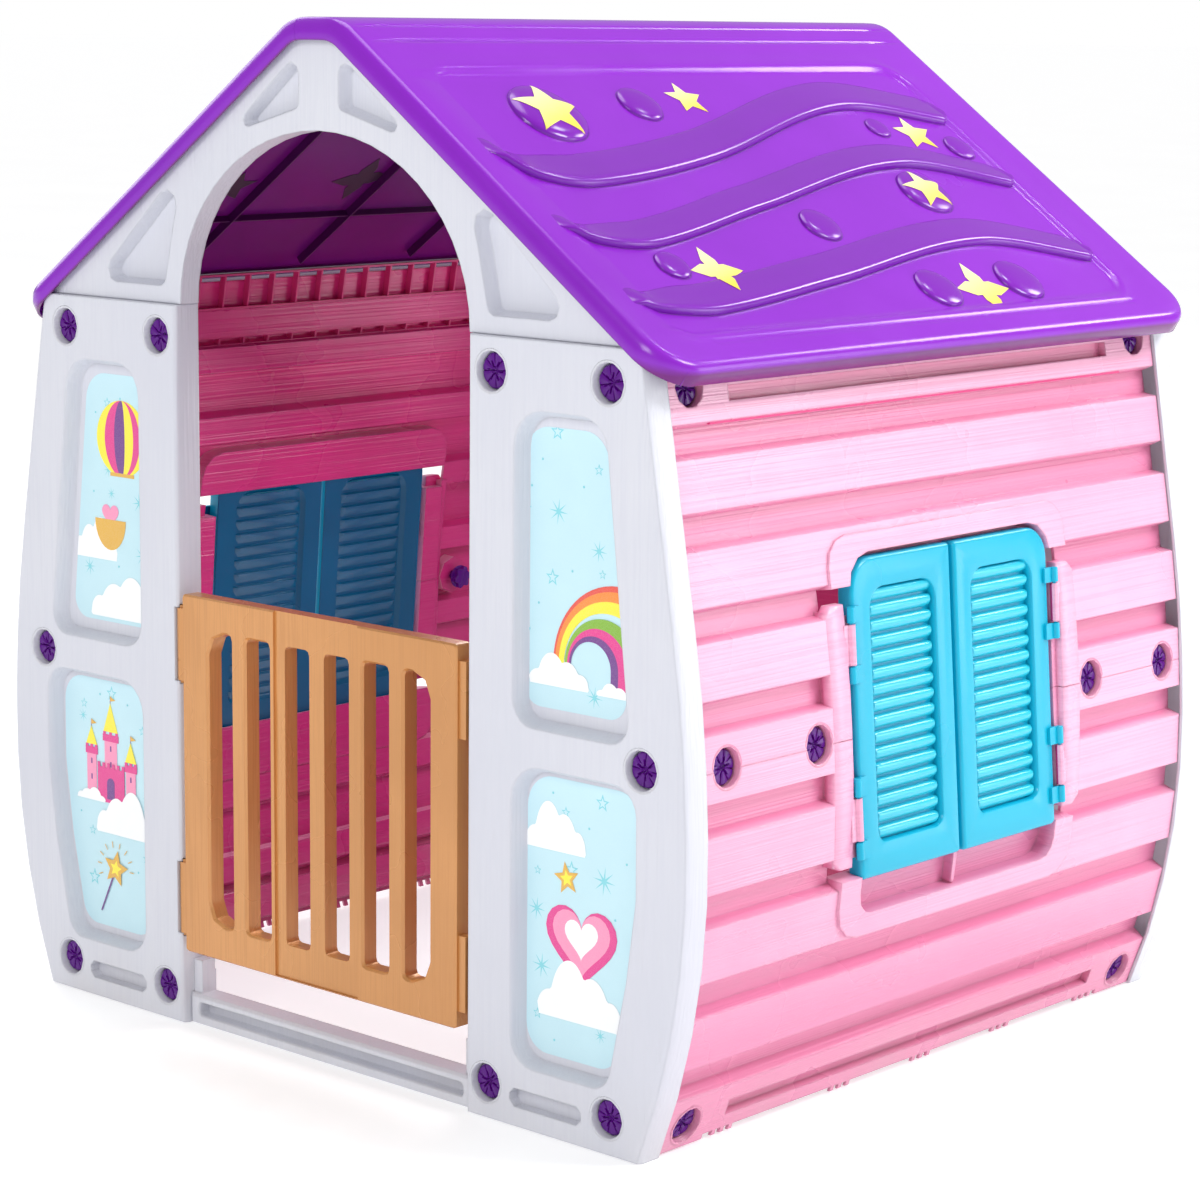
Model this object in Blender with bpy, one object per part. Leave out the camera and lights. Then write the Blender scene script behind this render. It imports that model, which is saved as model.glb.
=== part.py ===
"""A child's plastic playhouse, built up from separate moulded pieces that are bolted together.

Metres, +Z up. X runs across the front, the doorway faces -Y, and the origin is on the ground
under the middle of the house. Heights and widths are worked out on the +X side and mirrored.
"""

import math

import bmesh
import bpy
from mathutils import Matrix, Vector

# ---- whole house ----
HALF_DEPTH = 0.445  # middle of the house to the outer face of the front and rear panels
GAP = 0.0003  # clearance between pieces that touch
SKIN = 0.0035  # wall thickness of the mouldings
SEAM_Z = 0.789  # joint between side panels and gable
FRONT = -1
REAR = 1
RIGHT = 1
LEFT = -1

# ---- bulging outline of the end panels ----
CREST_Z = 0.290
CREST_X = 0.505
LOWER_RADIUS = 0.766
UPPER_RADIUS = 1.379
ARC_TOP_Z = 0.520  # above this the outline is straight

# ---- end panels ----
JAMB_X = 0.216
PANEL_DEPTH = 0.032
POCKET_DEPTH = 0.018
BOSS_RADIUS = 0.0235
POST_RADIUS = 0.026  # six-sided posts behind the panels' bolts
FACE_BOLTS = (
    (0.400, 0.754),
    (0.248, 0.754),
    (0.447, 0.390),
    (0.408, 0.038),
    (0.2445, 0.038),
)

# ---- bolts ----
HEAD_RADIUS = 0.018
HEAD_THICK = 0.005
HEAD_SUNK = 0.006
SHANK_RADIUS = 0.005
NUT_RADIUS = 0.015
NUT_THICK = 0.010
BORE_RADIUS = 0.0205
HOLE_RADIUS = 0.006
SEAT = HEAD_SUNK + HEAD_THICK  # depth of the counterbore
BOLT_SIDES = 8

# ---- side walls ----
WALL_HALF_LENGTH = HALF_DEPTH - PANEL_DEPTH - GAP
PLANK_IN = 0.004  # plank faces lie this far inside the end panels' outline
GROOVE_IN = 0.019
WALL_SEAM_Z = 0.3885
UPPER_PLANKS = ((0.687, 0.630), (0.601, 0.541), (0.515, 0.454), (0.428, WALL_SEAM_Z))
LOWER_PLANKS = ((WALL_SEAM_Z, 0.356), (0.330, 0.267), (0.240, 0.178), (0.148, 0.087))
TOP_BAND_Z = 0.713
BOTTOM_BAND_Z = 0.061
WALL_BOSS_IN = 0.025  # inner face of the bolt bosses, from the outline
TONGUE_IN = 0.0283  # inner face of the end panels' tongues
END_BOLT_Y = 0.378
SEAM_BOLT_Y = 0.237
TOP_BOLT_Z = 0.750
MID_BOLT_Z = 0.391
LOW_BOLT_Z = 0.024
FOOT_REACH = 0.345  # the walls' lower edges are cut away this far each way, but for the teeth
FOOT_CUT = 0.0055
TEETH_Y = (-0.315, -0.125, 0.015, 0.160, 0.320)  # middle of each group of three teeth
TOOTH_HALF = 0.003
TOOTH_PITCH = 0.013

# ---- windows ----
WINDOW_X = 0.4905
WINDOW_Z = 0.403
WINDOW_TILT = math.radians(4.59)
HOLE_HALF = 0.205
HOLE_LOW = 0.243
HOLE_TOP = 0.541
POST_INNER = 0.175
POST_LOW = 0.267
POST_TOP = 0.510

# ---- shutters ----
SHUTTER_HALF_HEIGHT = 0.162
SHUTTER_INNER = 0.003
SHUTTER_OUTER = 0.170
SHUTTER_THICK = 0.018
HINGE_Y = 0.1765
HINGE_OUT = 0.0032
KNUCKLE_RADIUS = 0.0045
SLATS = 16
# heights of the lower end and upper end of each knuckle, from the middle of the shutter
SHUTTER_KNUCKLES = ((0.100, 0.116), (0.039, 0.056), (-0.075, -0.056), (-0.139, -0.121))
WALL_KNUCKLES = ((0.0575, 0.0985), (-0.1195, -0.0765))

# ---- arch in the gables ----
ARCH_HALF = 0.214
ARCH_RISE = 0.188
ARCH_STEPS = 26
GABLE_POCKET = 0.016  # depth of the gables' pockets

# ---- roof ----
ROOF_SLOPE = math.radians(35.3)
RIDGE_Z = 1.090
APEX_Z = 1.115  # where the two slopes would meet
BEND_RADIUS = 0.060
ROOF_HALF_LENGTH = 0.450
ROOF_SKIN = 0.008
LIP_DEPTH = 0.023
ROOF_SEAM_X = -0.025
EAVE_X = 0.4845
EAVE_CORNER = 0.050

# ---- gate ----
GATE_LEFT = -0.208
GATE_RIGHT = 0.205
GATE_LOW = 0.085
GATE_TOP = 0.480
GATE_FACE = -0.003  # depth of the gate's face behind the panels' face
GATE_THICK = 0.020
GATE_HINGE_X = -0.217
GATE_HINGE_DEPTH = 0.0055
GATE_LUGS = ((0.103, 0.182), (0.384, 0.463))
BARS = 5
BAR_WIDTH = 0.022

COLOURS = {
    "white": ((0.80, 0.81, 0.87, 1.0), 0.42),
    "pink": ((0.87, 0.47, 0.62, 1.0), 0.40),
    "purple": ((0.26, 0.055, 0.62, 1.0), 0.32),
    "cyan": ((0.10, 0.60, 0.76, 1.0), 0.38),
    "gold": ((0.60, 0.32, 0.13, 1.0), 0.38),
    "violet": ((0.13, 0.03, 0.27, 1.0), 0.35),
}


# ---------------------------------------------------------------- objects and booleans


def clear_scene():
    for item in list(bpy.data.objects):
        bpy.data.objects.remove(item)


def paint(item, colour):
    rgba, roughness = COLOURS[colour]
    material = bpy.data.materials.new(item.name)
    material.use_nodes = True
    shader = material.node_tree.nodes["Principled BSDF"]
    shader.inputs["Base Color"].default_value = rgba
    shader.inputs["Roughness"].default_value = roughness
    shader.inputs["Metallic"].default_value = 0.0
    item.data.materials.clear()
    item.data.materials.append(material)


def make_object(name, shape):
    bmesh.ops.recalc_face_normals(shape, faces=shape.faces)
    mesh = bpy.data.meshes.new(name)
    shape.to_mesh(mesh)
    shape.free()
    item = bpy.data.objects.new(name, mesh)
    bpy.context.scene.collection.objects.link(item)
    return item


def combine(target, shape, operation):
    """Joins a shape on to the target, or cuts it away, and keeps the plain mesh that results."""
    other = make_object("helper", shape)
    modifier = target.modifiers.new("combine", "BOOLEAN")
    modifier.operation = operation
    modifier.solver = "EXACT"
    modifier.use_self = True
    modifier.object = other
    graph = bpy.context.evaluated_depsgraph_get()
    mesh = bpy.data.meshes.new_from_object(target.evaluated_get(graph))
    target.modifiers.clear()
    target.data = mesh
    bpy.data.objects.remove(other)


def is_closed(shape):
    return all(len(edge.link_faces) == 2 for edge in shape.edges)


def finish(item, colour):
    """Merges stray points, removes needless edges in flat faces and gives the piece its plastic."""
    for merge, flatness in ((1e-5, 0.4), (1e-6, 0.4), (1e-6, 0.05), (1e-6, 0.0), (1e-5, 0.0)):
        shape = bmesh.new()
        shape.from_mesh(item.data)
        bmesh.ops.remove_doubles(shape, verts=shape.verts, dist=merge)
        loose = [edge for edge in shape.edges if not edge.link_faces]
        bmesh.ops.delete(shape, geom=loose, context="EDGES")
        open_edges = [edge for edge in shape.edges if len(edge.link_faces) == 1]
        bmesh.ops.holes_fill(shape, edges=open_edges, sides=4)
        if flatness:
            bmesh.ops.dissolve_limit(
                shape,
                angle_limit=math.radians(flatness),
                verts=shape.verts,
                edges=shape.edges,
            )
        bmesh.ops.triangulate(shape, faces=shape.faces)
        if is_closed(shape):
            break
    bmesh.ops.recalc_face_normals(shape, faces=shape.faces)
    shape.to_mesh(item.data)
    shape.free()
    paint(item, colour)


# ---------------------------------------------------------------- outlines


def inset(outline, distances):
    """A counter-clockwise outline with each edge moved inwards by its own distance."""
    moved = []
    count = len(outline)
    for index in range(count):
        here = outline[index]
        before = (here - outline[index - 1]).normalized()
        after = (outline[(index + 1) % count] - here).normalized()
        first = Vector((-before.y, before.x))
        second = Vector((-after.y, after.x))
        d1 = distances[index - 1]
        d2 = distances[index]
        cross = first.x * second.y - first.y * second.x
        if abs(cross) < 0.02:
            moved.append(here + (first * d1 + second * d2) / 2)
        else:
            step = Vector((d1 * second.y - d2 * first.y, d2 * first.x - d1 * second.x)) / cross
            moved.append(here + step)
    return moved


def even_inset(outline, distance):
    return inset(outline, [distance] * len(outline))


def rounded(corners, steps=3):
    """An outline from corners (x, y, radius), each rounded with a few points."""
    outline = []
    count = len(corners)
    for index in range(count):
        x, y, radius = corners[index]
        here = Vector((x, y))
        to_before = (Vector(corners[index - 1][:2]) - here).normalized()
        to_after = (Vector(corners[(index + 1) % count][:2]) - here).normalized()
        if radius == 0:
            outline.append(here)
            continue
        half = to_before.angle(to_after) / 2
        reach = radius / math.tan(half)
        centre = here + (to_before + to_after).normalized() * (radius / math.sin(half))
        start = here + to_before * reach - centre
        end = here + to_after * reach - centre
        turn = start.angle_signed(end)
        for step in range(steps + 1):
            angle = -turn * step / steps
            outline.append(centre + Matrix.Rotation(angle, 2) @ start)
    return outline


def rectangle(x0, x1, y0, y1, radius=0.0, steps=3):
    corners = [(x0, y0, radius), (x1, y0, radius), (x1, y1, radius), (x0, y1, radius)]
    return rounded(corners, steps)


# ---------------------------------------------------------------- solids


def loft(shape, rings, cap=True):
    """Adds a closed solid through rings of points, each ring with the same number of points."""
    layers = [[shape.verts.new(point) for point in ring] for ring in rings]
    count = len(layers[0])
    for lower, upper in zip(layers, layers[1:]):
        for index in range(count):
            after = (index + 1) % count
            shape.faces.new((lower[index], lower[after], upper[after], upper[index]))
    if cap:
        shape.faces.new(list(reversed(layers[0])))
        shape.faces.new(layers[-1])
    return layers


def prism(shape, outline, place, near, far):
    """Adds an outline pushed from one depth to another; place maps (u, v, depth) to a point."""
    rings = [[place(p.x, p.y, depth) for p in outline] for depth in (near, far)]
    loft(shape, rings)


def stepped(shape, place, layers):
    """Adds a solid through (outline, depth) layers."""
    loft(shape, [[place(p.x, p.y, depth) for p in outline] for outline, depth in layers])


def box(shape, place, u0, u1, v0, v1, w0, w1):
    prism(shape, rectangle(u0, u1, v0, v1), place, w0, w1)


def circle(u, v, radius, sides, phase=0.0):
    turn = 2 * math.pi / sides
    return [
        Vector((u + radius * math.cos(turn * k + phase), v + radius * math.sin(turn * k + phase)))
        for k in range(sides)
    ]


# ---------------------------------------------------------------- curved outline of the house


def half_width(z):
    """Distance from the middle of the house to the outline at height z."""
    if z < CREST_Z:
        rise = CREST_Z - z
        return CREST_X - LOWER_RADIUS + math.sqrt(LOWER_RADIUS**2 - rise**2)
    rise = min(z, ARC_TOP_Z) - CREST_Z
    width = CREST_X - UPPER_RADIUS + math.sqrt(UPPER_RADIUS**2 - rise**2)
    slope = math.tan(math.asin((ARC_TOP_Z - CREST_Z) / UPPER_RADIUS))
    return width - max(z - ARC_TOP_Z, 0.0) * slope


def outward(z):
    """Angle of the outline's outward direction above the horizontal at height z."""
    if z < CREST_Z:
        return -math.asin((CREST_Z - z) / LOWER_RADIUS)
    return math.asin((min(z, ARC_TOP_Z) - CREST_Z) / UPPER_RADIUS)


def end_place(side, end):
    """Maps (x, z, depth behind the panel's face) for one side of the front or the rear."""

    def place(x, z, depth):
        return Vector((side * x, end * (HALF_DEPTH - depth), z))

    return place


def wall_place(side):
    """Maps (y, z, distance inside the outline) for a side wall."""

    def place(y, z, inside):
        angle = outward(z)
        x = half_width(z) - inside * math.cos(angle)
        return Vector((side * x, y, z - inside * math.sin(angle)))

    return place


def normal_place(side, y, z):
    """Maps (along y, up the wall, distance inside the outline) square to the wall at one spot."""
    angle = outward(z)
    centre = Vector((side * half_width(z), y, z))
    out = Vector((side * math.cos(angle), 0, math.sin(angle)))
    up = Vector((-side * math.sin(angle), 0, math.cos(angle)))

    def place(u, v, inside):
        return centre + Vector((0, u, 0)) + up * v - out * inside

    return place


def window_matrix(side):
    tilt = Matrix.Rotation(-side * WINDOW_TILT, 4, "Y")
    return Matrix.Translation((side * WINDOW_X, 0, WINDOW_Z)) @ tilt


def window_place(side):
    """Maps (y, height from the window's middle, distance outside its plane)."""
    matrix = window_matrix(side)

    def place(y, height, out):
        return matrix @ Vector((side * out, y, height))

    return place


# ---------------------------------------------------------------- end panels


def panel_outline():
    steps = 12
    outline = [Vector((JAMB_X, 0.0))]
    for step in range(steps + 1):
        z = (SEAM_Z - GAP) * step / steps
        outline.append(Vector((half_width(z), z)))
    outline.append(Vector((JAMB_X, SEAM_Z - GAP)))
    return outline


def upper_pocket(steps=5):
    corners = [
        (0.280, 0.411, 0.026),
        (0.431, 0.411, 0.022),
        (0.396, 0.719, 0.034),
        (0.280, 0.719, 0.036),
    ]
    return rounded(corners, steps)


def lower_pocket(steps=5):
    corners = [
        (0.279, 0.066, 0.030),
        (0.406, 0.066, 0.024),
        (0.430, 0.180, 0.080),
        (0.441, 0.262, 0.080),
        (0.440, 0.370, 0.028),
        (0.279, 0.370, 0.036),
    ]
    return rounded(corners, steps)


def foot_slot():
    return rectangle(0.278, 0.374, 0.022, 0.041, 0.006, 1)


def build_panel(name, side, end):
    place = end_place(side, end)
    outline = panel_outline()
    edges = len(outline)
    # edge order: bottom, the curved edges, seam, jamb
    rim = [0.25] + [1.0] * (edges - 3) + [0.1, 0.45]
    body = bmesh.new()
    layers = []
    radius = 0.009
    for degrees in (0, 45, 90):
        angle = math.radians(degrees)
        amount = radius * (1 - math.sin(angle))
        layers.append((inset(outline, [amount * part for part in rim]), radius * (1 - math.cos(angle))))
    layers.append((outline, PANEL_DEPTH))
    stepped(body, place, layers)
    item = make_object(name, body)

    # hollow back, kept clear of the pockets, the bolt posts and the hinge notches
    hollow = bmesh.new()
    prism(hollow, even_inset(outline, SKIN), place, SKIN, PANEL_DEPTH + 0.01)
    hollow_item = make_object("hollow", hollow)
    kept = bmesh.new()
    for pocket in (upper_pocket(2), lower_pocket(2)):
        prism(kept, even_inset(pocket, -0.0065), place, 0.0, POCKET_DEPTH + SKIN)
    prism(kept, even_inset(foot_slot(), -0.0025), place, 0.0, 0.015)
    for x, z in FACE_BOLTS:
        prism(kept, circle(x, z, POST_RADIUS, 6), place, 0.0, PANEL_DEPTH + 0.02)
    hinged = side == LEFT and end == FRONT
    if hinged:
        for low, high in GATE_LUGS:
            box(kept, place, JAMB_X, 0.228, low - 0.010, high + 0.010, 0.0, 0.016)
    combine(hollow_item, kept, "DIFFERENCE")
    cutter = bmesh.new()
    cutter.from_mesh(hollow_item.data)
    bpy.data.objects.remove(hollow_item)
    combine(item, cutter, "DIFFERENCE")

    cuts = bmesh.new()
    for pocket in (upper_pocket(), lower_pocket()):
        layers = [
            (even_inset(pocket, -0.004), -0.004),
            (even_inset(pocket, 0.001), 0.004),
            (even_inset(pocket, 0.005), POCKET_DEPTH),
        ]
        stepped(cuts, place, layers)
    prism(cuts, foot_slot(), place, -0.004, 0.012)
    for x, z in FACE_BOLTS:
        prism(cuts, circle(x, z, BORE_RADIUS, 10), place, -0.004, SEAT)
    combine(item, cuts, "DIFFERENCE")

    holes = bmesh.new()
    for x, z in FACE_BOLTS:
        prism(holes, circle(x, z, HOLE_RADIUS, 6), place, SEAT - 0.002, PANEL_DEPTH + 0.01)
    if hinged:
        for low, high in GATE_LUGS:
            box(holes, place, JAMB_X - 0.006, 0.2232, low - 0.0008, high + 0.0008, -0.004, 0.0115)
            socket = circle(-GATE_HINGE_X, GATE_HINGE_DEPTH, 0.0031, 6)

            def upright(x, depth, z):
                return place(x, z, depth)

            prism(holes, socket, upright, low - 0.0042, high + 0.0042)
    combine(item, holes, "DIFFERENCE")

    # tongues that reach under the side wall, one at each of its end bolts
    tongues = bmesh.new()
    for z in (TOP_BOLT_Z, MID_BOLT_Z, LOW_BOLT_Z):
        spot = normal_place(side, 0, z)
        profile = (
            (0.018, 0.0015),
            (PANEL_DEPTH - 0.0002, 0.0015),
            (PANEL_DEPTH - 0.0002, WALL_BOSS_IN + GAP),
            (0.092, WALL_BOSS_IN + GAP),
            (0.092, TONGUE_IN),
            (0.018, TONGUE_IN),
        )
        rings = []
        for v in (-0.019, 0.019):
            rings.append([spot(end * (HALF_DEPTH - depth), v, inside) for depth, inside in profile])
        loft(tongues, rings)
    combine(item, tongues, "UNION")

    drills = bmesh.new()
    for z in (TOP_BOLT_Z, MID_BOLT_Z, LOW_BOLT_Z):
        spot = normal_place(side, end * END_BOLT_Y, z)
        prism(drills, circle(0, 0, HOLE_RADIUS, 6), spot, WALL_BOSS_IN - 0.004, TONGUE_IN + 0.004)
    combine(item, drills, "DIFFERENCE")
    finish(item, "white")


# ---------------------------------------------------------------- gables


def roof_line(below):
    """Points (x, z) of the roof's top line moved down square to it, from the ridge to the eave."""
    flat_end = (APEX_Z - RIDGE_Z) / math.tan(ROOF_SLOPE) - BEND_RADIUS * math.tan(ROOF_SLOPE / 2)
    points = []
    bend_steps = 3
    for step in range(bend_steps + 1):
        angle = ROOF_SLOPE * step / bend_steps
        reach = BEND_RADIUS - below
        x = flat_end + reach * math.sin(angle)
        points.append(Vector((x, RIDGE_Z - BEND_RADIUS + reach * math.cos(angle))))
    return points


def gable_outline(inside=0.0):
    """Outline (x, z) of the gable, or of a shape that lies the given distance inside it."""
    below = ROOF_SKIN + GAP + inside
    foot_z = SEAM_Z + inside
    right = roof_line(below)
    drop = APEX_Z - below / math.cos(ROOF_SLOPE)
    corner_x = min(half_width(SEAM_Z), (drop - foot_z) / math.tan(ROOF_SLOPE))
    right.append(Vector((corner_x, drop - corner_x * math.tan(ROOF_SLOPE))))
    if not inside:
        right.append(Vector((corner_x, foot_z)))
    left = [Vector((-p.x, p.y)) for p in right]
    arch = []
    width = ARCH_HALF + inside
    height = ARCH_RISE + inside
    start = math.asin(inside / height)
    for step in range(ARCH_STEPS + 1):
        angle = start + (math.pi - 2 * start) * step / ARCH_STEPS
        arch.append(Vector((width * math.cos(angle), SEAM_Z + height * math.sin(angle))))
    # counter-clockwise: right foot, over the top to the left foot, then back round the arch
    return list(reversed(right)) + left + list(reversed(arch))


def gable_pockets():
    upper = [(0.030, 1.000, 0.008), (0.132, 0.972, 0.006), (0.030, 1.054, 0.010)]
    lower = [
        (0.240, 0.808, 0.010),
        (0.350, 0.808, 0.012),
        (0.208, 0.936, 0.014),
        (0.226, 0.870, 0.090),
    ]
    return [rounded(upper, 3), rounded(lower, 3)]


def build_gable(name, end):
    place = end_place(RIGHT, end)
    face = 0.0055
    back = 0.031
    outline = gable_outline()
    body = bmesh.new()
    prism(body, outline, place, face, back)
    item = make_object(name, body)

    hollow = bmesh.new()
    prism(hollow, gable_outline(0.004), place, face + 0.0075, back + 0.01)
    combine(item, hollow, "DIFFERENCE")

    # the pockets are sunk into blocks behind the face
    blocks = bmesh.new()
    cuts = bmesh.new()
    for side in (RIGHT, LEFT):
        half = end_place(side, end)
        for pocket in gable_pockets():
            prism(blocks, even_inset(pocket, -0.0035), half, face + 0.002, face + GABLE_POCKET + 0.0035)
            layers = [
                (even_inset(pocket, -0.0022), face - 0.003),
                (even_inset(pocket, -0.0008), face + 0.001),
                (even_inset(pocket, 0.0030), face + GABLE_POCKET),
            ]
            stepped(cuts, half, layers)
    combine(item, blocks, "UNION")
    combine(item, cuts, "DIFFERENCE")

    # tongues behind the side panels, one at each of their top bolts
    tongues = bmesh.new()
    inner = PANEL_DEPTH + GAP
    profile = (
        (0.0245, SEAM_Z + 0.0015),
        (inner, SEAM_Z + 0.0015),
        (inner, 0.734),
        (inner + 0.0035, 0.734),
        (inner + 0.0035, SEAM_Z + 0.010),
        (0.0245, SEAM_Z + 0.010),
    )
    for side in (RIGHT, LEFT):
        half = end_place(side, end)
        for x in (FACE_BOLTS[0][0], FACE_BOLTS[1][0]):
            rings = []
            for edge in (x - 0.014, x + 0.014):
                rings.append([half(edge, z, depth) for depth, z in profile])
            loft(tongues, rings)
    combine(item, tongues, "UNION")
    holes = bmesh.new()
    for side in (RIGHT, LEFT):
        half = end_place(side, end)
        for x, z in FACE_BOLTS[:2]:
            prism(holes, circle(x, z, HOLE_RADIUS, 6), half, inner - 0.004, inner + 0.008)
    combine(item, holes, "DIFFERENCE")
    finish(item, "white")


# ---------------------------------------------------------------- sill and rear infill


def foot_tongues(shape, end):
    """Flanges behind the side panels, taken up by their bottom inner bolts."""
    inner = PANEL_DEPTH + GAP
    for side in (RIGHT, LEFT):
        half = end_place(side, end)
        box(shape, half, 0.202, 0.262, 0.010, 0.058, inner, inner + 0.0035)


def foot_holes(shape, end):
    inner = PANEL_DEPTH + GAP
    for side in (RIGHT, LEFT):
        half = end_place(side, end)
        x, z = FACE_BOLTS[4]
        prism(shape, circle(x, z, HOLE_RADIUS, 6), half, inner - 0.003, inner + 0.008)


def build_sill():
    place = end_place(RIGHT, FRONT)
    reach = JAMB_X - GAP
    body = bmesh.new()
    layers = []
    for amount, depth in ((0.003, 0.010), (0.0, 0.013), (0.0, 0.0358)):
        layers.append((even_inset(rectangle(-reach, reach, 0.0, 0.034), amount), depth))
    stepped(body, place, layers)
    item = make_object("front_sill", body)
    ends = bmesh.new()
    for side in (RIGHT, LEFT):
        half = end_place(side, FRONT)
        box(ends, half, 0.202, reach, 0.020, 0.071, 0.016, 0.034)
    foot_tongues(ends, FRONT)
    combine(item, ends, "UNION")
    cuts = bmesh.new()
    slot = rectangle(-0.201, 0.203, 0.011, 0.025, 0.004, 2)
    stepped(cuts, place, [(even_inset(slot, -0.002), 0.008), (slot, 0.012), (slot, 0.024)])
    foot_holes(cuts, FRONT)
    combine(item, cuts, "DIFFERENCE")
    finish(item, "white")


def build_rear_infill():
    """Low planked wall that closes the foot of the rear opening."""
    place = end_place(RIGHT, REAR)
    reach = JAMB_X - GAP
    top = 0.500
    planks = 5
    pitch = top / planks
    face = []
    for number in range(planks):
        low = number * pitch
        high = low + pitch
        face.append(Vector((0.018, low)))
        face.append(Vector((0.008, low + 0.006)))
        face.append(Vector((0.008, high - 0.012)))
        face.append(Vector((0.018, high - 0.008)))
    face[0] = Vector((0.008, 0.0))
    face[-1] = Vector((0.008, top - 0.002))
    face[-2] = Vector((0.008, top - 0.012))
    section = [Vector((0.030, 0.0))] + face + [Vector((0.012, top)), Vector((0.030, top))]
    body = bmesh.new()
    rings = [[place(x, p.y, p.x) for p in section] for x in (-reach, reach)]
    loft(body, rings)
    item = make_object("rear_infill", body)
    extra = bmesh.new()
    foot_tongues(extra, REAR)
    for side in (RIGHT, LEFT):
        half = end_place(side, REAR)
        box(extra, half, 0.202, reach, 0.010, 0.058, 0.026, PANEL_DEPTH + GAP + 0.0035)
    combine(item, extra, "UNION")
    cuts = bmesh.new()
    box(cuts, place, -reach + SKIN, reach - SKIN, 0.004, top - SKIN, 0.0215, 0.040)
    foot_holes(cuts, REAR)
    combine(item, cuts, "DIFFERENCE")
    finish(item, "pink")


# ---------------------------------------------------------------- side walls


def plank_profile(planks, top_edge, bottom_edge):
    """Points (z, distance inside the outline) down the wall's outer face."""
    points = []
    if top_edge is not None:
        points += [(top_edge, PLANK_IN), (TOP_BAND_Z + 0.003, PLANK_IN)]
        points += [(TOP_BAND_Z - 0.001, GROOVE_IN)]
    for high, low in planks:
        if high != WALL_SEAM_Z:
            points += [(high + 0.001, GROOVE_IN), (high - 0.004, PLANK_IN)]
        else:
            points.append((high - GAP / 2, PLANK_IN))
        if low != WALL_SEAM_Z:
            points += [(low + 0.003, PLANK_IN), (low - 0.001, GROOVE_IN)]
        else:
            points.append((low + GAP / 2, PLANK_IN))
    if bottom_edge is not None:
        points += [(BOTTOM_BAND_Z + 0.001, GROOVE_IN), (BOTTOM_BAND_Z - 0.004, PLANK_IN)]
        points += [(bottom_edge, PLANK_IN)]
    return points


def wall_section(planks, top_edge, bottom_edge):
    """Closed outline (x, z) of the corrugated skin."""
    outer = []
    for z, inside in plank_profile(planks, top_edge, bottom_edge):
        angle = outward(z)
        outer.append(Vector((half_width(z) - inside * math.cos(angle), z - inside * math.sin(angle))))
    inner = []
    count = len(outer)
    for index, here in enumerate(outer):
        before = (here - outer[index - 1]).normalized() if index else None
        after = (outer[index + 1] - here).normalized() if index + 1 < count else None
        normals = [Vector((step.y, -step.x)) for step in (before, after) if step is not None]
        total = normals[0] if len(normals) == 1 else normals[0] + normals[1]
        scale = SKIN / (1 + normals[0].dot(normals[-1])) * (2 if len(normals) == 1 else 1)
        if len(normals) == 1:
            scale = SKIN
        inner.append(here + total * scale)
    inner[0].y = outer[0].y
    inner[-1].y = outer[-1].y
    return outer + list(reversed(inner))


def arch_outline(half, low, high, radius, upright=1):
    """A rectangle with two corners rounded: the top two if upright, else the bottom two."""
    top_radius = radius if upright > 0 else 0.0
    low_radius = 0.0 if upright > 0 else radius
    corners = [
        (-half, low, low_radius),
        (half, low, low_radius),
        (half, high, top_radius),
        (-half, high, top_radius),
    ]
    return rounded(corners, 3)


def boss(shape, side, y, z, part=0):
    """Adds a bolt boss square to the wall. part 1 or -1 keeps the half above or below the seam."""
    place = normal_place(side, y, z)
    full = circle(0, 0, BOSS_RADIUS, 8)
    if part == 0:
        prism(shape, full, place, PLANK_IN + 0.0002, WALL_BOSS_IN)
        return
    cut = WALL_SEAM_Z - z + part * GAP / 2
    half = [Vector((-BOSS_RADIUS, cut)), Vector((BOSS_RADIUS, cut))]
    for step in range(1, 4):
        angle = math.pi * step / 4
        half.append(Vector((BOSS_RADIUS * math.cos(angle), part * BOSS_RADIUS * math.sin(angle))))
    if part > 0:
        prism(shape, half, place, PLANK_IN + 0.0002, SEAT + PLANK_IN + 0.0015)
        prism(shape, full, place, SEAT + PLANK_IN + 0.0006, WALL_BOSS_IN)
    else:
        prism(shape, half, place, PLANK_IN + 0.0002, SEAT + PLANK_IN)


def bolt_cuts(cuts, holes, side, y, z):
    place = normal_place(side, y, z)
    prism(cuts, circle(0, 0, BORE_RADIUS, 10), place, -0.003, SEAT + PLANK_IN + 0.0003)
    prism(holes, circle(0, 0, HOLE_RADIUS, 6), place, SEAT, WALL_BOSS_IN + 0.004)


def slot_block(shape, side, low, high, half, near, far):
    place = wall_place(side)
    prism(shape, rectangle(-half, half, low, high), place, near, far)


def foot_gaps():
    """Stretches (start, stop) along the house between the teeth of a wall's lower edge."""
    edges = [-FOOT_REACH]
    for middle in TEETH_Y:
        for count in (-1, 0, 1):
            tooth = middle + count * TOOTH_PITCH
            edges += [tooth - TOOTH_HALF, tooth + TOOTH_HALF]
    edges.append(FOOT_REACH)
    return list(zip(edges[::2], edges[1::2]))


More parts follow.
